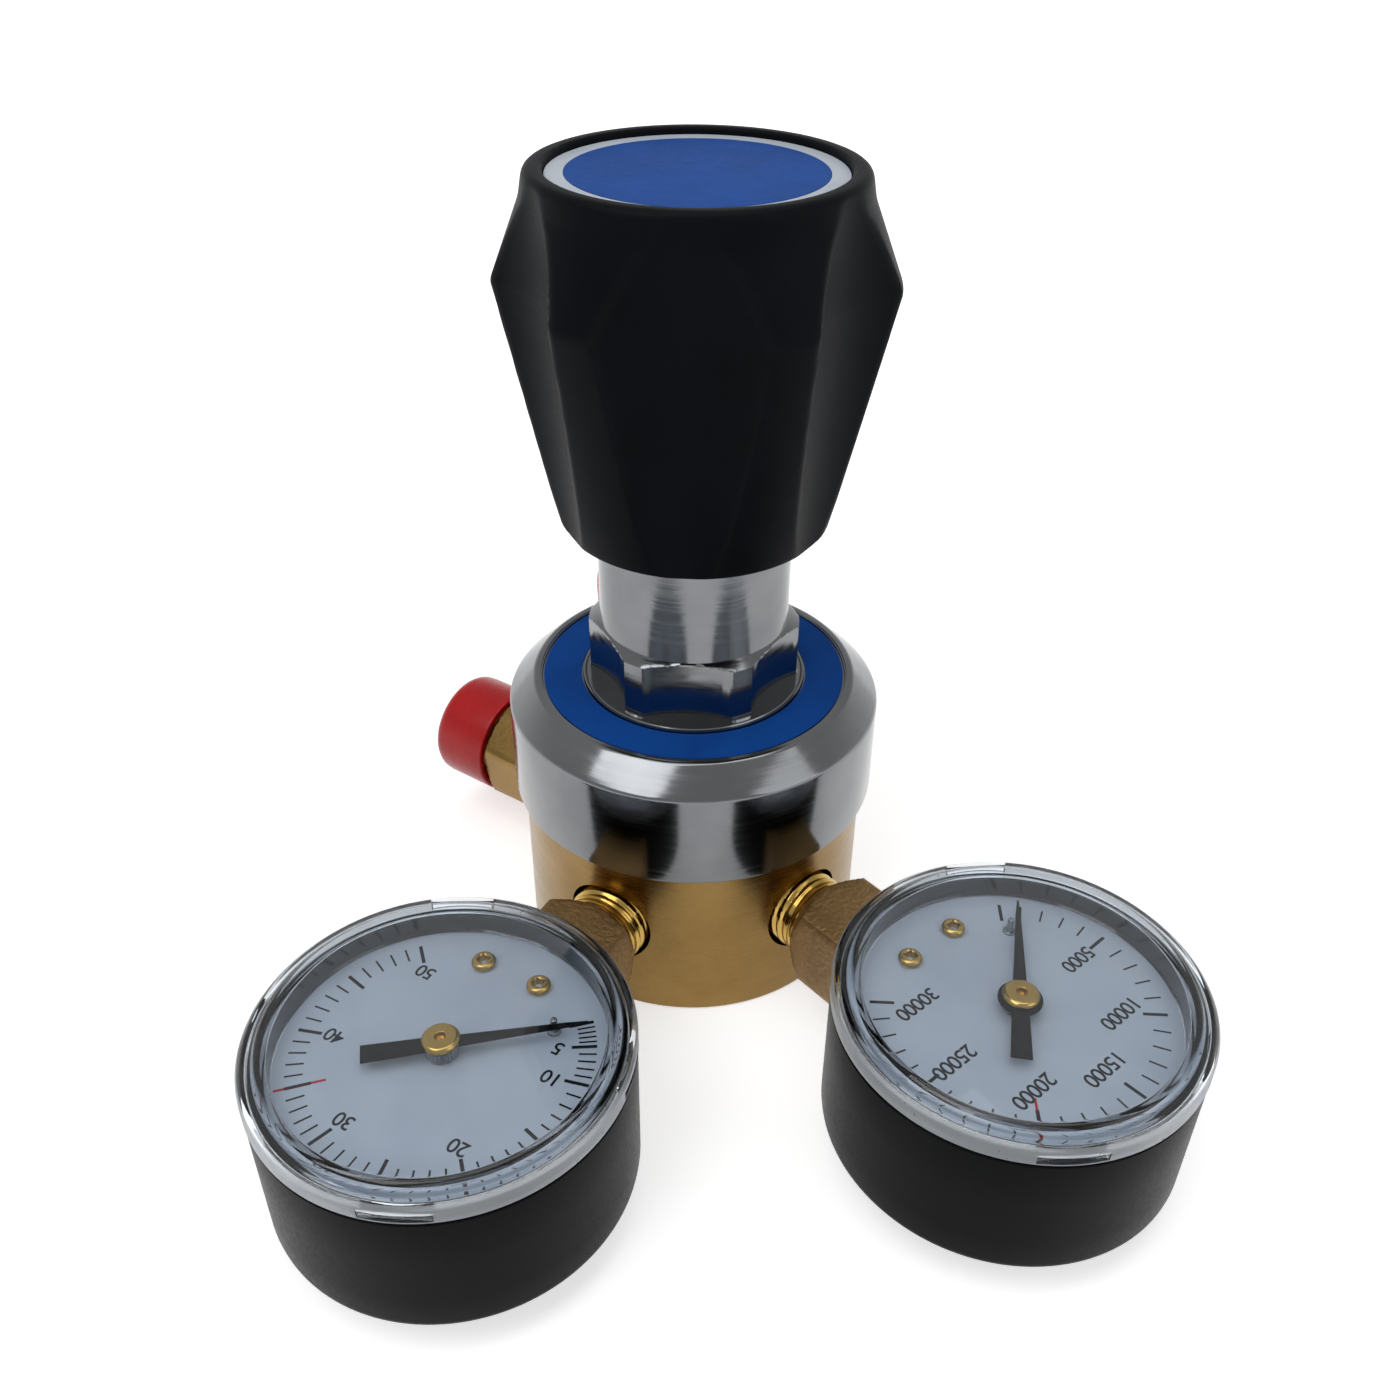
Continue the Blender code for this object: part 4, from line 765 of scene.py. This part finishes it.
@dataclass
class Knob:
    """The fluted knob with its label disc."""

    waist_z: float = 111.5
    flutes: int = 6
    face: float = 22.4
    cut_radius: float = 21.1
    lean: float = 0.091
    turn: float = -100.1
    soft: float = 0.22
    course: float = 0.9
    cavity: Point2 = (15.4, 102.0)
    recess: Point2 = (19.75, 125.0)
    skin_r: float = 17.0
    rim_r: float = 21.0
    disc: Point2 = (17.15, 125.42)
    border: Point2 = (17.2, 19.65)
    outline: list[Corner] = field(default_factory=lambda: [
        (15.4, 76.1), (19.7, 76.1, 1.3), (21.1, 81.8, 1.0), (27.6, 111.5, 0.7),
        (23.1, 122.5, 0.8), (22.4, 126.3, 1.8), (19.95, 126.3, 0.5), (19.75, 125.1)])

    def flute(self, angle: float, height: float) -> float:
        """Return the radius of the nearest flute's floor, or a large one between flutes.

        Args:
            angle: Direction, in radians.
            height: Height, in millimetres.

        Returns:
            The radius, in millimetres.
        """
        off = off_middle(angle, self.flutes, self.turn)
        centre = self.face + self.cut_radius - self.lean * max(self.waist_z - height, 0.0)
        inside = self.cut_radius ** 2 - (centre * math.sin(off)) ** 2
        if inside <= 0:
            return math.inf
        return centre * math.cos(off) - math.sqrt(inside)

    def row(self, radius: float, height: float) -> Radius:
        """Return one ring of the knob, its edges softened where a flute meets the outside.

        Args:
            radius: Radius of the outside, in millimetres.
            height: The ring's height.

        Returns:
            The ring's radius as a function of the angle.
        """
        def value(angle: float) -> float:
            """Return the radius at the angle."""
            other = self.flute(angle, height)
            gap = max(self.soft - abs(radius - other), 0.0) / self.soft
            return min(radius, other) - gap * gap * self.soft * 0.25

        return value

    def build(self) -> None:
        """Build the knob and its label."""
        profile = filleted(self.outline, False, 5)
        cavity_r, cavity_z = self.cavity
        recess_r, floor = self.recess
        rows: list[Row] = [(0.0, cavity_z), (cavity_r, cavity_z)]
        for (r0, z0), (r1, z1) in zip(profile, profile[1:]):
            parts = max(int(abs(z1 - z0) / self.course), 1)
            for share in (k / parts for k in range(parts)):
                r, z = r0 + (r1 - r0) * share, z0 + (z1 - z0) * share
                outside = r > self.skin_r and not (z > floor - 0.1 and r < self.rim_r)
                rows.append((self.row(r, z) if outside else r, z))
        rows += [(recess_r, floor), (0.0, floor)]
        knob = lofted("fluted_knob", rows, KNOB_ABS, steps=288, closed=False, turn=self.turn,
                      angle=50.0)
        place_piece(knob, "knob", "knob")
        low = floor + 0.02
        disc_r, high = self.disc
        near, far = self.border
        disc = turned("knob_disc", [(0.0, low), (disc_r, low), (disc_r, high), (0.0, high)],
                      LABEL_BLUE, steps=128)
        rim = turned("knob_disc_border", [(near, low), (far, low), (far, high - 0.04, 0.1),
                                          (near, high - 0.02)], LABEL_WHITE, steps=128)
        place_piece(disc, "knob", "knob_label")
        place_piece(rim, "knob")


@dataclass
class Gauge:
    """One pressure gauge: case, lens, dial, pointer and socket."""

    prefix: str
    side: int
    values: list[tuple[float, float]]
    labels: list[float]
    minor: float
    limit: float
    case_r: float = 25.9
    lens_r: float = 26.0
    dial_r: float = 22.6
    dial_top: float = 27.2
    rest: float = -50.5
    boss: float = 2.0
    nose_half: float = 0.95
    tail_half: float = 1.2
    windows: tuple[float, ...] = (30.0, 113.0, 205.0, 290.0)
    window_width: float = 9.2
    opening: float = 14.6
    matt_from: float = 25.6
    short_number: Point2 = (3.0, 15.3)
    long_number: Point2 = (3.2, 14.0)
    major_line: Point3 = (17.1, 20.5, 0.5)
    minor_line: Point3 = (18.1, 20.5, 0.27)
    limit_line: Point3 = (15.2, 21.9, 0.36)
    pin_r: float = 15.0
    pin_turn: float = -46.6
    ridge_count: int = 24

    @property
    def azimuth(self) -> float:
        """Return the direction of the gauge's port, in degrees."""
        return -90.0 + self.side * GAUGE_SPREAD

    @property
    def place(self) -> Matrix:
        """Return the gauge's place, its X towards the body."""
        return at(*around(GAUGE_DISTANCE, self.azimuth), 0.0, self.azimuth + 180.0)

    def angle(self, value: float) -> float:
        """Return where a value lies on the scale, between the marks that are given.

        Args:
            value: The value.

        Returns:
            Its direction, in degrees.
        """
        for (v0, a0), (v1, a1) in zip(self.values, self.values[1:]):
            if v0 <= value <= v1:
                return a0 + (a1 - a0) * (value - v0) / (v1 - v0)
        return self.values[-1][1]

    def fix(self, piece: Object, *nodes: str) -> None:
        """Fix a piece to the regulator, in place of the gauge's own nodes of these names."""
        place_piece(piece, "regulator", *(f"{self.prefix}_{node}" for node in nodes))

    def build(self) -> None:
        """Build every piece of the gauge that shows."""
        self.build_case()
        self.build_lens()
        self.build_dial()
        self.build_pointer()
        self.build_socket()

    def build_case(self) -> None:
        """Build the pressed case with its socket slot and back screws."""
        inner = self.case_r - 2.05
        case = turned(f"{self.prefix}_enamelled_case", [
            (0.0, 6.3), (self.case_r, 6.3, 1.4), (self.case_r, 12.0), (self.case_r, 20.0),
            (self.case_r, 28.3, 0.3), (24.4, 28.3), (24.4, 29.6, 0.2), (inner - 0.1, 29.6, 0.2),
            (inner - 0.1, 26.4), (21.7, 26.4), (inner, 24.2), (inner, 7.5, 0.6), (0.0, 7.5)],
            CASE_ENAMEL, self.place, 144)
        half = self.opening / 2
        cut(case, prism("opening", rectangle(20.0, -half, 28.0, half), PORT_Z - half,
                        PORT_Z + half, CASE_ENAMEL, self.place))
        self.fix(case, "case")
        for tag, y in (("a", 3.8), ("b", -3.8)):
            screw = turned(f"{self.prefix}_case_screw_{tag}", [
                (0.0, 4.8), (2.0, 4.85, 0.6), (2.7, 5.5, 0.3), (2.7, 6.0), (0.9, 6.0), (0.9, 10.9),
                (0.0, 10.9)], ZINC_STEEL, self.place @ at(14.0, y), 32)
            self.cross_head(screw, self.place @ at(14.0, y, 4.6, 35.0), 3.472, 0.6)
            self.fix(screw, f"back_screw_{tag}")

    def cross_head(self, screw: Object, place: Matrix, length: float, width: float) -> None:
        """Cut two crossed driver slots into a screw head.

        Args:
            screw: The screw.
            place: The slots' centre at the head's face.
            length: Their length, in millimetres.
            width: Their width.
        """
        slot = rectangle(-length / 2, -width / 2, length / 2, width / 2)
        for turn in (0.0, 90.0):
            cut(screw, prism("slot", slot, -0.3, 0.75, ZINC_STEEL, place @ at(0, 0, 0, turn)))

    def build_lens(self) -> None:
        """Build the clear cover, its stepped ring and the windows of its bayonet."""
        lens = turned(f"{self.prefix}_cover", [
            (0.0, 33.0), (23.3, 33.0, 0.5), (24.0, 32.3, 0.3), (25.1, 32.3, 0.4),
            (self.lens_r, 31.4, 0.5), (self.lens_r, 28.7, 0.2), (24.75, 28.7),
            (24.75, 31.2, 0.2), (22.7, 31.2), (22.7, 27.6), (22.1, 27.6), (22.1, 31.5, 0.2),
            (0.0, 31.5)], LENS_CLEAR, self.place, 144)
        lens.data.materials.append(LENS_RIM.build())
        for face in lens.data.polygons:
            if math.hypot(face.center.x, face.center.y) > self.matt_from * MM:
                face.material_index = 1
        half = self.window_width / 2
        window = filleted([(25.2, -half, 0.3), (27.0, -half), (27.0, half), (25.2, half, 0.3)],
                          True, 3)
        for turn in self.windows:
            cut(lens, prism("window", window, 29.0, 30.3, LENS_CLEAR,
                            self.place @ at(0, 0, 0, turn)))
        self.fix(lens, "lens")

    def build_dial(self) -> None:
        """Build the dial, its marks and numbers, its two screws and the stop pin."""
        dial = turned(f"{self.prefix}_lacquered_dial", [
            (0.0, 26.7), (self.dial_r, 26.7), (self.dial_r, self.dial_top, 0.08),
            (0.0, self.dial_top)], DIAL_LACQUER, self.place, 128)
        self.fix(dial, "dial")
        marks = bmesh.new()
        for k in range(round(self.values[-1][0] / self.minor) + 1):
            self.mark(marks, self.angle(k * self.minor),
                      self.minor_line if k % 5 else self.major_line)
        self.fix(make(f"{self.prefix}_scale", marks, DIAL_BLACK, self.place))
        red = bmesh.new()
        self.mark(red, self.angle(self.limit), self.limit_line)
        self.fix(make(f"{self.prefix}_limit", red, DIAL_RED, self.place))
        for number in self.labels:
            self.number(number)
        for tag, sign in (("a", -1), ("b", 1)):
            spot = around(DIAL_SCREW_R, sign * DIAL_SCREW_TURN)
            screw = turned(f"{self.prefix}_brass_screw_{tag}", [
                (0.0, 26.6), (0.6, 26.6), (0.75, 28.2, 0.1), (1.05, 28.3, 0.1), (1.45, 28.25, 0.2),
                (1.75, 27.9, 0.2), (1.75, 27.5), (0.8, 27.5), (0.8, 24.6), (0.0, 24.6)][::-1],
                BRIGHT_BRASS, self.place @ at(*spot), 32)
            flip = Matrix.Rotation(math.pi, 4, "X")
            self.cross_head(screw, self.place @ at(*spot, 28.35, 40.0 * sign) @ flip, 2.108, 0.42)
            self.fix(screw, f"dial_screw_{tag}")
        pin = turned(f"{self.prefix}_pin", [(0.0, 26.1), (0.48, 26.1), (0.48, 27.22), (1.0, 27.22),
                                            (0.95, 27.5, 0.1), (0.48, 27.55), (0.48, 29.6, 0.2),
                                            (0.0, 29.6)], ZINC_STEEL,
                     self.place @ at(*around(self.pin_r, self.pin_turn)), 24)
        self.fix(pin, "stop_pin")

    def mark(self, bm: BMesh, turn: float, line: Point3) -> None:
        """Add one printed line of the scale, a thin raised film.

        Args:
            bm: The bmesh to add to.
            turn: Its direction, in degrees.
            line: Its inner and outer end and its width, in millimetres.
        """
        near, far, width = line
        along = Vector(around(1.0, turn))
        across = Vector((-along.y, along.x)) * width / 2
        outline = [along * near - across, along * far - across, along * far + across,
                   along * near + across]
        extrude(bm, [(p.x, p.y) for p in outline], self.dial_top + 0.005, self.dial_top + 0.03)

    def number(self, value: float) -> None:
        """Print one plain number, upright when the socket points down.

        Args:
            value: The number.
        """
        digits = f"{value:g}"
        size, radius = self.long_number if len(digits) > 3 else self.short_number
        text = bpy.data.curves.new(f"{self.prefix}_number_{digits}", "FONT")
        text.body = digits
        text.size = size * MM
        text.space_character = 0.92
        text.align_x = "CENTER"
        text.align_y = "CENTER"
        text.extrude = 0.012 * MM
        text.offset = 0.03 * MM
        text.resolution_u = 6
        holder = put("digits", text)
        bpy.context.view_layer.update()
        graph = bpy.context.evaluated_depsgraph_get()
        mesh = bpy.data.meshes.new_from_object(holder.evaluated_get(graph))
        bpy.data.objects.remove(holder, do_unlink=True)
        mesh.materials.clear()
        mesh.materials.append(DIAL_BLACK.build())
        place = self.place @ at(*around(radius, self.angle(value)), self.dial_top + 0.02, 90.0)
        self.fix(put(f"{self.prefix}_number_{digits}", mesh, place))

    def ridges(self, radius: float) -> Radius:
        """Return the radius of a bush with pressed ridges round it."""
        return lambda angle: radius + 0.12 * math.cos(self.ridge_count * angle)

    def build_pointer(self) -> None:
        """Build the pointer, its brass cap and the ridged bush below it."""
        rest = self.place @ at(0, 0, 0, self.rest)
        nose = math.degrees(math.asin(self.nose_half / self.boss))
        tail = math.degrees(math.asin(self.tail_half / self.boss))
        arc = [around(self.boss, nose + (180.0 - tail - nose) * k / 12) for k in range(13)]
        upper = [(19.5, 0.12), (16.5, 0.36), *arc, (-10.5, 1.45)]
        outline = upper + [(x, -y) for x, y in reversed(upper)]
        blade = prism(f"{self.prefix}_blade", outline, 29.02, 29.38, POINTER_BLACK, rest)
        pointer = bevelled(blade, 0.07)
        cap = turned(f"{self.prefix}_boss", [(0.0, 29.75), (2.55, 29.75), (2.6, 30.15, 0.2),
                                             (2.2, 30.55, 0.2), (0.75, 30.62, 0.1), (0.6, 29.95),
                                             (0.0, 29.95)], BRIGHT_BRASS, rest, 64)
        ridged = self.ridges(2.05)
        hub = lofted(f"{self.prefix}_bush", [(0.85, 27.35), (ridged, 27.35), (ridged, 28.95),
                                             (0.85, 28.95)], ZINC_STEEL, rest, 144, angle=50.0)
        body = f"{self.prefix}_pointer"
        place_piece(pointer, body, f"{self.prefix}_pointer")
        place_piece(hub, body)
        place_piece(cap, body, f"{self.prefix}_pointer_hub")

    def build_socket(self) -> None:
        """Build the stamped socket: bright thread, square block with a turned nose, foot."""
        place = port(self.azimuth)
        rows: list[Row] = [(1.6, 19.6), (6.0, 19.6),
                           *thread_rows(QUARTER_R, 20.2, 30.6, QUARTER_PITCH, 0.4),
                           (6.0, 30.9), (6.0, 32.0), (1.6, 32.0)]
        thread = lofted(f"{self.prefix}_socket_thread", rows, BRIGHT_BRASS, place, 64)
        self.fix(thread)
        square = polygon_radius(4, 7.0, 0.0)
        block: list[Row] = [(2.0, 31.3), (6.2, 31.3)]
        block += [(clipped(square, 6.5 + 3.1 * k / 6), 31.4 + 2.5 * k / 6) for k in range(7)]
        block += [(clipped(square, 9.6), 34.5 + k * 2.0) for k in range(6)]
        block += [(clipped(square, 9.6), 46.9), (2.0, 46.9)]
        main = lofted(f"{self.prefix}_socket_block", block, STAMPED_BRASS, place, turn=45.0,
                      angle=30.0)
        foot = prism(f"{self.prefix}_socket_foot", rectangle(-7.4, -6.0, 3.8, 6.0), 46.8, 66.0,
                     STAMPED_BRASS, place)
        self.fix(main, "socket")
        self.fix(bevelled(foot, 0.3))
        for tag, sign in (("a", -1), ("b", 1)):
            spot = around(DIAL_SCREW_R, sign * DIAL_SCREW_TURN)
            post = turned(f"{self.prefix}_socket_post_{tag}", [
                (0.0, 19.8), (1.6, 19.8), (1.6, 26.4, 0.2), (1.1, 26.4), (1.1, 24.1), (0.0, 24.1)],
                STAMPED_BRASS, self.place @ at(*spot), 24)
            self.fix(post)


@dataclass
class Inlet:
    """The inlet at the back: stem, swivel nut and red cap."""

    place: Matrix = field(default_factory=lambda: port(INLET_AZIMUTH))

    def build(self) -> None:
        """Build the stem, nut and cap."""
        stem: list[Row] = [
            (2.0, 14.2), (7.6, 14.2), *thread_rows(8.0, 15.0, 28.0, 1.6, 0.5), (7.6, 28.4),
            (10.6, 28.45), *hexagon_rows(22.0, 0.0, 28.45, 36.0, False),
            *filleted([(8.0, 36.0), (6.4, 36.2), (6.4, 60.2), (8.7, 60.3, 0.2), (8.7, 63.9, 0.3),
                       (6.9, 64.9), (6.9, 71.7), (5.7, 71.7), (5.7, 74.3), (6.9, 74.3),
                       (6.9, 77.5, 0.5), (4.6, 80.4, 1.4), (2.0, 80.5, 0.2), (2.0, 22.0)], False)]
        spigot = lofted("inlet_spigot", stem, BODY_BRASS, self.place, angle=28.0)
        place_piece(spigot, "regulator", "inlet_stem")
        blank: list[Row] = [
            (6.8, 43.0), (12.4, 43.0), *hexagon_rows(27.0, 90.0, 43.05, 58.0, True),
            (11.2, 58.05), *thread_rows(11.2, 58.6, 75.4, 1.8, 0.7),
            *filleted([(10.9, 75.5), (10.4, 76.0, 0.2), (9.0, 76.0), (9.0, 60.0), (6.8, 60.0),
                       (6.8, 43.5)], False)]
        nut = lofted("swivel_nut", blank, BODY_BRASS, self.place, angle=28.0)
        place_piece(nut, "inlet_nut", "inlet_nut")
        cap = red_cap("inlet_cap_moulding", self.place, 13.0, 11.7, 58.3, 85.0)
        place_piece(cap, "inlet_cap", "inlet_cap")


def red_cap(name: str, place: Matrix, radius: float, inner: float, start: float,
            end: float) -> Object:
    """Mould one pushed-on cap with a rounded closed end.

    Args:
        name: The object's name.
        place: Its port.
        radius: Outer radius, in millimetres.
        inner: Inner radius.
        start: Open end.
        end: Closed end.

    Returns:
        The cap.
    """
    corners: list[Corner] = [(0.0, end), (radius * 0.55, end), (radius, end, 2.4),
                             (radius, end - 4.0), (radius, start, 0.35), (inner, start, 0.35),
                             (inner, end - 1.3, 1.0), (0.0, end - 1.3)]
    return turned(name, corners, CAP_PVC, place, 96)


@dataclass
class Outlet:
    """The outlet fitting and its red cap."""

    place: Matrix = field(default_factory=lambda: port(OUTLET_AZIMUTH))

    def build(self) -> None:
        """Build the fitting and the cap."""
        rows: list[Row] = [
            (3.2, 19.6), (6.0, 19.6), *thread_rows(QUARTER_R, 20.2, 28.2, QUARTER_PITCH, 0.5),
            (6.2, 28.4), (8.2, 28.45), *hexagon_rows(17.0, -99.0, 28.45, 40.4, False),
            (7.0, 40.45), (7.0, 41.4), *thread_rows(7.9, 42.0, 49.2, 1.8, 0.6),
            *filleted([(7.5, 49.5), (6.9, 50.2, 0.2), (4.6, 50.2, 0.2), (3.2, 48.0),
                       (3.2, 20.0)], False)]
        fitting = lofted("outlet_union", rows, BODY_BRASS, self.place, angle=28.0)
        place_piece(fitting, "regulator", "outlet_fitting")
        cap = red_cap("outlet_cap_moulding", self.place, 9.5, 8.2, 40.7, 52.1)
        place_piece(cap, "outlet_cap", "outlet_cap")


def dress_inner(nodes: dict[str, Object]) -> None:
    """Give the inner CAD solids their finishes.

    Args:
        nodes: CAD objects by node name.
    """
    rules: list[tuple[str, Finish]] = [
        ("hairspring", BRONZE), ("bourdon_tube", BRONZE), ("inlet_filter", BRONZE),
        ("_arbor", BRIGHT_BRASS), ("_sector", BRIGHT_BRASS), ("_movement", BRIGHT_BRASS),
        ("_link", ZINC_STEEL), ("nozzle_cage", BODY_BRASS), ("valve_poppet", BODY_BRASS),
        ("valve_seat", NYLON), ("diaphragm_plate", ALUMINIUM), ("diaphragm", RUBBER),
        ("inlet_o_ring", RUBBER)]
    for name, obj in nodes.items():
        if obj.hide_render:
            continue
        finish = next((f for key, f in rules if key in name), ZINC_STEEL)
        obj.data.materials.clear()
        obj.data.materials.append(finish.build())
        LOG.info("%s keeps its solid in %s", name, finish.name)


def seen(tree: NodeTree, looked_at: float, lighting: float) -> NodeSocket:
    """Return one strength where the camera, metal or glass looks and another as light.

    Args:
        tree: The tree to add nodes to.
        looked_at: Strength for camera, glossy and transmission rays.
        lighting: Strength for all other rays.

    Returns:
        The socket with the strength.
    """
    path = add_node(tree, "LightPath")
    both = add_node(tree, "Math", {"operation": "MAXIMUM"}, {
        0: path.outputs["Is Camera Ray"], 1: path.outputs["Is Glossy Ray"]})
    every = add_node(tree, "Math", {"operation": "MAXIMUM"}, {
        0: both.outputs[0], 1: path.outputs["Is Transmission Ray"]})
    return add_node(tree, "MapRange", {"To Min": lighting, "To Max": looked_at},
                    {"Value": every.outputs[0]}).outputs[0]


@dataclass(frozen=True)
class Lamp:
    """One square area lamp."""

    name: str
    spot: Point3
    size: float
    power: float

    def hang(self, aim: Point3) -> None:
        """Hang the lamp and turn it.

        Args:
            aim: The point that it shines at, in metres.
        """
        lamp = bpy.data.lights.new(self.name, "AREA")
        lamp.shape = "SQUARE"
        lamp.size = self.size
        lamp.energy = self.power
        way = Vector(aim) - Vector(self.spot)
        turn = way.to_track_quat("-Z", "Y").to_matrix().to_4x4()
        put(self.name, lamp, Matrix.Translation(self.spot) @ turn)


@dataclass
class Studio:
    """The pale floor, the soft light and the camera, in metres but for the camera's place."""

    floor_reach: float = 6.0
    floor_drop: float = 0.0001
    glow_near: float = 0.2
    glow_far: float = 0.7
    glow_least: float = 0.6
    room_light: float = 0.45
    aim: Point3 = (0.0, 0.0, 0.05)
    lamps: tuple[Lamp, ...] = (Lamp("key", (-0.35, -0.25, 0.75), 0.5, 2.3),
                               Lamp("fill", (0.6, -0.45, 0.5), 0.5, 0.9),
                               Lamp("top", (0.1, 0.05, 1.0), 0.6, 1.9))
    focal_mm: float = 34.74
    sensor_mm: float = 36.0
    camera_mm: Point3 = (-19.325, -179.055, 170.084)
    right: Point3 = (0.99424127, -0.10677672, 0.00911165)
    up: Point3 = (0.05437767, 0.57593765, 0.81568308)
    ahead: Point3 = (0.09234371, 0.81049031, -0.57842726)

    def build(self) -> None:
        """Lay the floor, light it and set the camera."""
        bpy.context.scene.view_settings.view_transform = "Standard"
        self.lay_floor()
        self.light_room()
        for lamp in self.lamps:
            lamp.hang(self.aim)
        self.set_camera()

    def lay_floor(self) -> None:
        """Lay pale paper that takes the object's real shadow, plus a painted glow that is weaker
        near the object (painted shade round it) and full white further out.
        """
        bm = bmesh.new()
        bmesh.ops.create_grid(bm, x_segments=1, y_segments=1, size=self.floor_reach,
                              matrix=Matrix.Translation((0, 0, -self.floor_drop)))
        mesh = bpy.data.meshes.new("floor")
        bm.to_mesh(mesh)
        bm.free()
        floor = put("floor", mesh)
        mat = bpy.data.materials.new("floor_paper")
        tree = empty_tree(mat)
        paper = add_node(tree, "BsdfDiffuse", {"Color": linear("#F2F2F2")})
        spot = add_node(tree, "TexCoord").outputs["Object"]
        away = add_node(tree, "VectorMath", {"operation": "LENGTH"}, {0: spot}).outputs["Value"]
        # Painted light and shade: the paper glows at glow_least within glow_near of the object and
        # rises to full white at glow_far, so it is darker round the object than its shadow alone
        # makes it
        glow = add_node(tree, "MapRange", {"From Min": self.glow_near, "From Max": self.glow_far,
                                           "To Min": self.glow_least}, {"Value": away})
        level = add_node(tree, "Math", {"operation": "MULTIPLY"},
                         {0: glow.outputs[0], 1: seen(tree, 1.0, 0.0)})
        white = add_node(tree, "Emission", {"Color": WHITE}, {"Strength": level.outputs[0]})
        both = add_node(tree, "AddShader", links={0: paper.outputs[0], 1: white.outputs[0]})
        add_node(tree, "OutputMaterial", links={"Surface": both.outputs[0]})
        floor.data.materials.append(mat)

    def light_room(self) -> None:
        """Light the room evenly, white at the horizon and half as bright overhead."""
        world = bpy.data.worlds.new("studio")
        bpy.context.scene.world = world
        tree = empty_tree(world)
        way = add_node(tree, "TexCoord").outputs["Generated"]
        height = add_node(tree, "SeparateXYZ", links={0: way}).outputs[2]
        room = add_node(tree, "MapRange", {"From Min": 0.05, "From Max": 0.5, "To Min": 1.0,
                                           "To Max": 0.5, "interpolation_type": "SMOOTHSTEP"},
                        {"Value": height})
        level = add_node(tree, "Math", {"operation": "MULTIPLY"},
                         {0: room.outputs[0], 1: seen(tree, 1.0, self.room_light)})
        sky = add_node(tree, "Background", {"Color": WHITE}, {"Strength": level.outputs[0]})
        add_node(tree, "OutputWorld", links={"Surface": sky.outputs[0]})

    def set_camera(self) -> None:
        """Set the camera at the photograph's angle, solved from the object's circles."""
        lens = bpy.data.cameras.new("camera")
        lens.sensor_width = self.sensor_mm
        lens.lens = self.focal_mm
        lens.clip_start = 0.01
        back = -Vector(self.ahead)
        matrix = Matrix((Vector(self.right), Vector(self.up), back)).transposed().to_4x4()
        matrix.translation = Vector(self.camera_mm) * MM
        bpy.context.scene.camera = put("camera", lens, matrix)


def main() -> None:
    """Build the object piece by piece, then the studio."""
    logging.basicConfig(level=logging.INFO, format="%(name)s: %(message)s")
    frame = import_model()
    Body().build()
    Bonnet().build()
    Knob().build()
    Gauge("flow", -1, [(0, -45.9), (5, -58.0), (10, -76.5), (20, -135.5), (30, -196.5),
                       (40, -252.5), (50, -313.9)], [5, 10, 20, 30, 40, 50], 1.0, 35.0).build()
    Gauge("contents", 1, [(0, -43.5), (5000, -88.5), (10000, -133.5), (15000, -178.5),
                          (20000, -223.5), (25000, -268.5), (30000, -313.5)],
          [5000, 10000, 15000, 20000, 25000, 30000], 1000.0, 20000.0, boss=3.1,
          windows=(34.0, 143.0, 205.0, 324.0)).build()
    Inlet().build()
    Outlet().build()
    dress_inner(frame["nodes"])
    Studio().build()
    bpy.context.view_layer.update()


if __name__ == "__main__":
    main()
